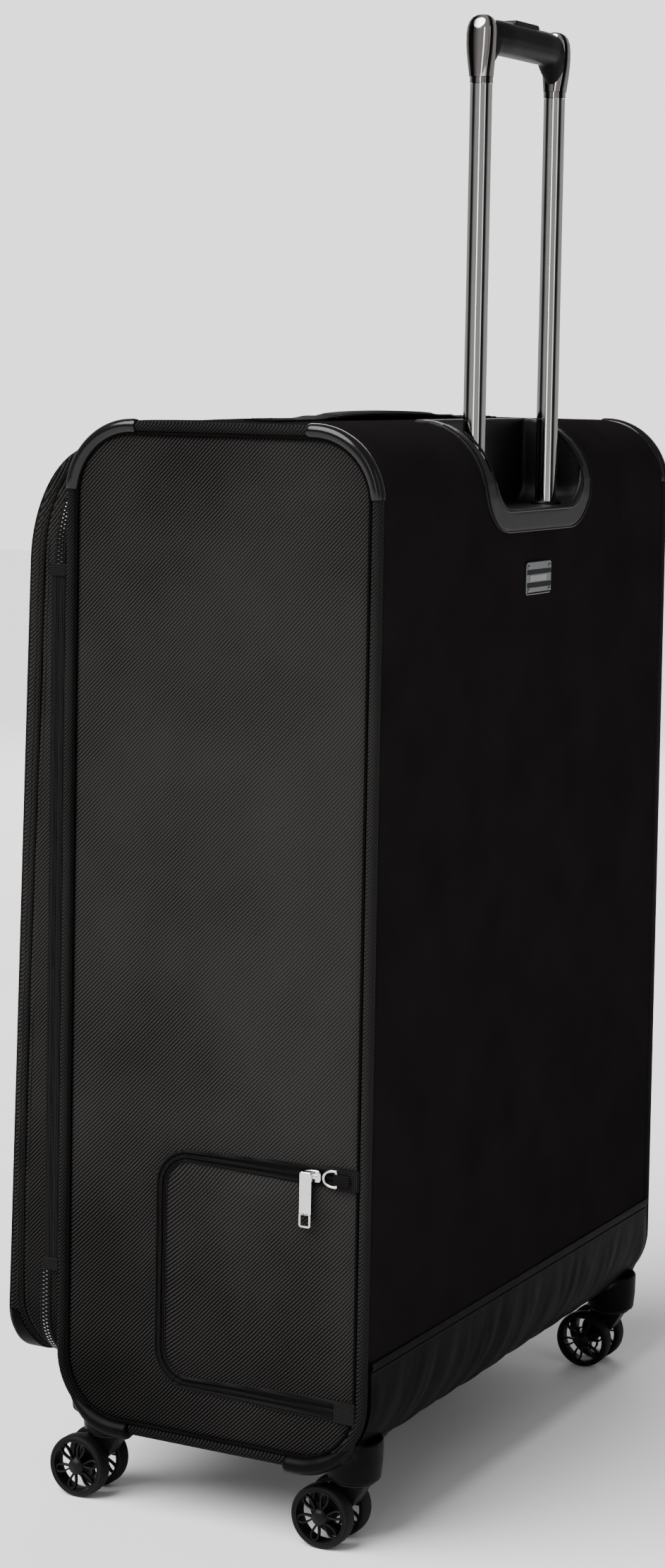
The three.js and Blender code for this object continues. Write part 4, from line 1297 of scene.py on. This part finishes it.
def lid_outward(point):
    """Outward direction of the lid's gusset at a point."""
    x, z = point.x, point.z
    radius = LID_TOP_R if z > 400 else LID_BOTTOM_R
    cx = math.copysign(LID_HALF - radius, x)
    cz = LID_TOP - radius if z > 400 else LID_BOTTOM + radius
    beyond_x = max(abs(x) - (LID_HALF - radius), 0) * math.copysign(1, x)
    beyond_z = (z - cz) if (z > cz if cz > 400 else z < cz) else 0
    out = Vector((beyond_x, 0, beyond_z))
    return out.normalized() if out.length > 0 else Vector((math.copysign(1, cx), 0, 0))


def make_zip_band():
    """The case's own half of the zip: a tape band between the piping and the lid."""
    rows = []
    for y, out in ((-99.2, -1.6), (-97.5, -0.9), (-92, -0.8), (-80, -0.9), (-62, -1.0)):
        rows.append([Vector((x + nx * out, y, z + nz * out)) for x, z, nx, nz in lid_ring(7)])
    cover("case_zip_band", lattice(rows, ring=True, capped=False), TAPE, 1.0, None,
          "case", ["main_zip"])


def make_hinge_tape():
    """Woven strip between the case and the lid; it crosses the joint."""
    rows = []
    for i in range(100):
        z = HINGE_LOW - 1 + 491 * i / 99
        row = []
        for j in range(15):
            y = -97.6 - 13.4 * j / 14
            x = LID_HALF + 1.5 + 0.35 * math.sin(j * 2.6) + 0.5 * wobble(y * 3, z, 22, 31)
            row.append(Vector((x, y, z)))
        rows.append(row)
    tape = cover("hinge_strip", lattice(rows), HINGE_WEAVE, 0.8, None, None, ["hinge_tape"])
    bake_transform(tape)
    ends = []
    for z in (HINGE_LOW - 6, HINGE_HIGH - 3):
        patch = rounded(-112, -98.5, z, z + 9, 1.5, 1.5, 3, 30)
        ends.append(slab(patch, on_side(1), LID_HALF + 0.8, LID_HALF + 2.6, 0.5))
    piece("zip_end_patches", merged(*ends), HINGE_WEAVE, "lid")


def make_corner_patches():
    """Smooth coated patches over the lid's lower corners."""
    corner_x, corner_z = LID_HALF - LID_BOTTOM_R, LID_BOTTOM + LID_BOTTOM_R
    for word, side in SIDES.items():
        ring = [p for p in lid_ring(5) if p[0] * side > 190 and p[1] < corner_z]
        ring.sort(key=lambda p: math.atan2(p[1] - corner_z, p[0] * side - corner_x))
        rows = []
        for k in range(12):
            row = []
            for x, z, nx, nz in ring:
                seam, face = lid_seam_y(z) - 5, lid_face_y(z) + 1.5
                y = seam + (face - seam) * k / 11
                past_edge = min(max((lid_face_y(z) + LID_CORNER - y) / LID_CORNER, 0), 0.95)
                reach = 2.0 - LID_CORNER * (1 - math.cos(math.asin(past_edge)))
                row.append(Vector((x + nx * reach, y, z + nz * reach)))
            rows.append(row)
        cover(f"lid_corner_{word}", lattice(rows), LEATHERETTE, 1.0, None, "lid")


def pad_shape(x0, x1, z0, z1, radius, thick, place_y):
    """A cushion-like slab: crowned front, pulled-in edges, flat back."""
    outline = rounded(x0, x1, z0, z1, radius, radius, 8, 10)
    rows = []
    for inset, height in ((3.0, 0.0), (0.6, 1.4), (0.0, thick * 0.35), (1.2, thick * 0.7), (4.0, thick * 0.9),
                          (9.0, thick)):
        rows.append([(x - nx * inset, z - nz * inset, height) for x, z, nx, nz in outline])
    centre_z, spine = (z0 + z1) / 2, max((z1 - z0) / 2 - (x1 - x0) / 2, 0)
    span = max((x1 - x0) / 2 - (z1 - z0) / 2, 0)
    for t in (0.12, 0.3, 0.55, 0.8, 1.0):
        row = []
        for x, z, nx, nz in outline:
            px, pz = x - nx * 9, z - nz * 9
            sx = min(max(px, -span), span)
            sz = min(max(pz, centre_z - spine), centre_z + spine)
            row.append((px + (sx - px) * t, pz + (sz - pz) * t, thick + 1.0 * math.sin(t * math.pi / 2)))
        rows.append(row)
    points = [[Vector((x, place_y(z) - h, z)) for x, z, h in row] for row in rows]
    return lattice(points, ring=True)


def puffed(obj, voxel, pressure, cap, keep_off):
    """Cloth under a little air pressure. Moves are capped, and keep_off(point) clamps a point in mm."""
    remesh = obj.modifiers.new("even", "REMESH")
    remesh.mode = "VOXEL"
    remesh.voxel_size = voxel * MM
    settle(obj)
    rest = [v.co.copy() for v in obj.data.vertices]
    cloth = obj.modifiers.new("cloth", "CLOTH")
    settings = cloth.settings
    settings.quality = 4
    settings.use_pressure = True
    settings.uniform_pressure_force = pressure
    settings.effector_weights.gravity = 0
    settings.tension_stiffness = 12
    settings.compression_stiffness = 12
    settings.bending_stiffness = 0.6
    scene = bpy.context.scene
    for step in range(1, 21):
        scene.frame_set(step)
    settle(obj)
    scene.frame_set(1)
    for vertex, start in zip(obj.data.vertices, rest):
        move = vertex.co - start
        if move.length > cap * MM:
            vertex.co = start + move.normalized() * cap * MM
        vertex.co = Vector(keep_off(vertex.co / MM)) * MM
    finer = obj.modifiers.new("finer", "SUBSURF")
    finer.levels = 1
    finer.render_levels = 1
    settle(obj)


def make_front_pockets():
    """Two padded pockets on the lid's front, each with a zip along its top."""
    forward, upward = Vector((0, -1, 0)), Vector((0, 0, 1))
    thick, sunk = 8.5, 2.6
    for node, z0, z1 in (("front_pocket_lower", 130, 425), ("front_pocket_upper", 440, 690)):
        shape = pad_shape(-202, 202, z0, z1, 24, thick, lambda z: lid_face_y(z) - sunk)
        pad = bare_object(f"{node}_pad", *shape, [LID_TWILL])
        puffed(pad, 5, 3.0, 4.0, lambda p: (p.x, min(p.y, lid_face_y(p.z) - 1.2), p.z))
        belong(pad, "lid", [node], 60)
        top = z1 - 26
        face = lid_face_y(top) - 2 * sunk - thick
        line = [Vector((x, face, top)) for x in (-178, 178)]
        strip = sweep(track(line, upward), [(-p[0], p[1]) for p in flat_bar(14, 1.0, 0.4)])
        piece(f"{node}_tape", strip, TAPE, "lid")
        path = [(Vector((x, face, top)), forward, upward) for x in range(-174, 175, 2)]
        both = merged(*(teeth(path, 2.5, row, 0.8) for row in (-1, 1)))
        piece(f"{node}_teeth", both, TEETH_METAL, "lid")
        rows = [stitches([v + forward + upward * rise for v in line], lambda p: forward, 3.0, 0.4)
                for rise in (-5.4, 5.4)]
        piece(f"{node}_stitching", merged(*rows), THREAD, "lid")
        slider = zip_slider(on_front, 150, top, -face + 0.9, (1, 0))
        tag = pull_plate(on_front, 146.5, 153.5, top - 34, top + 2, -face + 3.6, -face + 5.0)
        piece(f"{node}_slider", merged(slider, tag), ZIP_METAL, "lid")


# ---------------------------------------------------------------- carry handles


def strap_rows():
    """Padded strap cross-sections along its length, as (along, across, height)."""
    rows = []
    for i in range(49):
        t = 2 * i / 48 - 1
        swell = math.cos(t * math.pi / 2) ** 0.35 if abs(t) < 1 else 0.0
        half = HANDLE_WIDTH / 2 * (0.80 + 0.20 * swell)
        thick = 1.6 + 4.6 * swell
        row = []
        for a in range(20):
            angle = 2 * math.pi * a / 20
            c, s = math.cos(angle), math.sin(angle)
            across = half * math.copysign(abs(c) ** 0.6, c)
            height = HANDLE_LIFT + thick / 2 + thick / 2 * math.copysign(abs(s) ** 0.75, s)
            row.append((t * HANDLE_HALF, across, height))
        rows.append(row)
    return rows


def sewn_end(place, way):
    """The end of a handle that is sewn to the case: thickest where the webbing leaves it."""
    edge = ((-12.4, -0.4), (-12.6, 0.5), (-11.8, 1.1), (0, 1.35), (11.8, 1.1), (12.6, 0.5), (12.4, -0.4))
    rows = []
    for i in range(30):
        s = ANCHOR_START + ANCHOR_LENGTH * i / 29
        rise = 0.5 + 1.9 * math.exp(-((s - ANCHOR_START) / 16) ** 2)
        rows.append([place(way * s, c, rise + h) for c, h in edge])
    return lattice(rows, ring=True)


def box_stitch(place, way):
    """A sewn rectangle with its two diagonals."""
    near, far, half = ANCHOR_START + 58, ANCHOR_START + 86, 9.5
    route = [(near, -half), (far, -half), (far, half), (near, half), (near, -half), (far, half), (far, -half),
             (near, half)]
    out = place(0, 0, 1) - place(0, 0, 0)
    points = [place(way * s, c, 1.75) for s, c in route]
    return merged(*(stitches([p, q], lambda v: out, 2.8, 0.42) for p, q in zip(points, points[1:])))


def make_handle(name, body, place):
    """One low carry handle: padded grip, its two sewn-down ends and the webbing between.

    place(along, across, height) puts a point of the handle in the frame.
    """
    rows = strap_rows()
    pad = bare_object(f"{name}_pad", *lattice([[place(*p) for p in row] for row in rows], ring=True), [TAPE])
    belong(pad, body, [body], 60)
    out = place(0, 0, 1) - place(0, 0, 0)
    seams = []
    for across in (-9.0, 9.0):
        line = [place(*max(row, key=lambda p: p[2] - 0.6 * abs(p[1] - across))) for row in rows[3:-3]]
        seams.append(stitches(line, lambda p: out, 3.2, 0.42))
    piece(f"{name}_stitching", merged(*seams), THREAD, body)
    web = ((-9.4, -0.5), (-9.6, 0.3), (-9, 0.8), (9, 0.8), (9.6, 0.3), (9.4, -0.5))
    for word, way in (("a", 1), ("b", -1)):
        piece(f"{name}_anchor_{word}", sewn_end(place, way), TAPE, "case")
        piece(f"{name}_box_stitch_{word}", box_stitch(place, way), THREAD, "case")
        bridge = []
        for i in range(14):
            s, drop = 98 - 20 * i / 13, 2.2 - 0.4 * i / 13
            bridge.append([place(way * s, c, drop + h) for c, h in web])
        link = bare_object(f"{name}_link_{word}", *lattice(bridge, ring=True), [TAPE])
        belong(link, None)
        start, end = (tuple(place(way * s, 0, 0) * MM) for s in (96, 80))
        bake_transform(link)
        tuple(start)
        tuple(end)


def make_handles():
    """The top handle lies across the case; the side handle stands upright on -X."""
    top, top_y = TOP_Z + SKIN_OUT, 16
    make_handle("top_grip", "top_handle", lambda s, c, h: Vector((s, top_y + c, top + h)))
    face, side_y, side_z = SIDE_X + 1.2, 10, 430
    make_handle("side_grip", "side_handle", lambda s, c, h: Vector((-face - h, side_y + c, side_z + s)))


# ---------------------------------------------------------------- casters


def wheel_shape(x, y, outward):
    """Tyre, rim, six petal loops and a domed hub cap; outward is +1 or -1 along X."""
    half = WHEEL_HALF

    def turned(profile, sides):
        return lathe(profile, sides, lambda u, v, h: Vector((x + h, y + u, WHEEL_R + v)))

    tyre = turned([(18.2, -half + 0.6), (20.4, -half), (21.6, -half + 0.9), (22, -half + 2.6),
                   (22, half - 2.6), (21.6, half - 0.9), (20.4, half), (18.2, half - 0.6)], 64)
    rim = turned([(17.2, -half + 1.3), (17.6, -half + 0.2), (18.4, -half + 0.2), (18.4, half - 0.2),
                  (17.6, half - 0.2), (17.2, half - 1.3)], 64)
    hub = turned([(0.01, -half), (4.8, -half), (5.8, -half + 0.8), (5.8, half - 0.8), (4.8, half),
                  (0.01, half + 0.2)], 40)
    cap = turned([(r, outward * (half + h)) for r, h in
                  ((0.01, 2.0), (3.0, 1.7), (5.0, 0.7), (5.9, -0.6), (0.01, -0.6))], 40)
    face_x = x + outward * (half - 2.6)
    petals = []
    for index in range(6):
        base = index * math.pi / 3 + 0.26
        loop = []
        for i in range(36):
            t = 2 * math.pi * i / 36
            radial = 11.2 + 6.3 * math.cos(t)
            spread = 3.9 * math.sin(t) * (0.62 + 0.38 * math.cos(t))
            a = base + spread / radial
            loop.append(Vector((face_x, y + radial * math.cos(a), WHEEL_R + radial * math.sin(a))))
        bar = strip_section(1.5, 0.65, 0.4, 20, 30)
        petals.append(sweep(closed_track(loop, (outward, 0, 0)), bar, loop=True))
    return tyre, merged(rim, hub, cap, *petals)


def make_casters():
    for word, side in SIDES.items():
        for end in ENDS:
            place = f"{end}_{word}"
            softened(f"fork_{place}", f"caster_fork_{place}", WHEEL_PLASTIC, 0.9, 6, f"caster_{place}")
            repaint(f"axle_{place}", STEEL)
            for name, way in (("outer", 1), ("inner", -1)):
                x = side * (SWIVEL_X + way * WHEEL_OFFSET)
                body = f"wheel_{name}_{place}"
                tyre, spokes = wheel_shape(x, HUB_Y[end], side * way)
                piece(f"rim_{name}_{place}", spokes, WHEEL_PLASTIC, body, [body])
                piece(f"tyre_{name}_{place}", tyre, TYRE, body)


# ---------------------------------------------------------------- inside


def make_lining():
    """Loose lining of the main compartment, and two packing straps with a buckle."""
    outline = rounded(-244.6, 244.6, 92, 727, 24, 24, 10, 15)
    rows = []
    for y, inset, top in ((-86, 0, 727), (-40, 0.6, 727), (20, 0.9, 727), (86, 0.6, 726), (92, 1.0, 684),
                          (104, 2.0, 682), (111, 7.0, 676), (112.3, 16.0, 668)):
        row = []
        for x, z, nx, nz in outline:
            level = z - (727 - top) * ease((z - 600) / 120)
            pull = inset + 0.8 * abs(wobble(x + y, z + y * 0.5, 45, 51))
            row.append(Vector((x - nx * pull, y, level - nz * pull)))
        rows.append(row)
    verts, faces = lattice(rows, ring=True)
    open_front = [f for f in faces if len(f) == 4 or f[0] != len(rows[0]) - 1]
    lining = bare_object("case_lining", verts, open_front, [LINING])
    belong(lining, "case")
    straps = []
    for side in (1, -1):
        points = [Vector((side * (240 - 20 * i), 60 + 34 * abs(i / 12 - 1), 560 - 13.75 * i))
                  for i in range(25)]
        straps.append(sweep(track(points, (0, 1, 0)), strip_section(12, 0.6, 0.5, 8)))
    piece("packing_straps", merged(*straps), TAPE, "case")
    buckle = slab(rounded(-22, 22, 377, 413, 6, 6, 5, 15), on_front, -62, -52, 2)
    piece("strap_buckle", buckle, CUP_PLASTIC, "case")


# ---------------------------------------------------------------- build

make_camera()
make_studio()
make_case()
make_side_pocket()
make_ring()
make_cup()
make_plate()
make_trolley()
make_lid()
make_handles()
make_casters()
make_lining()
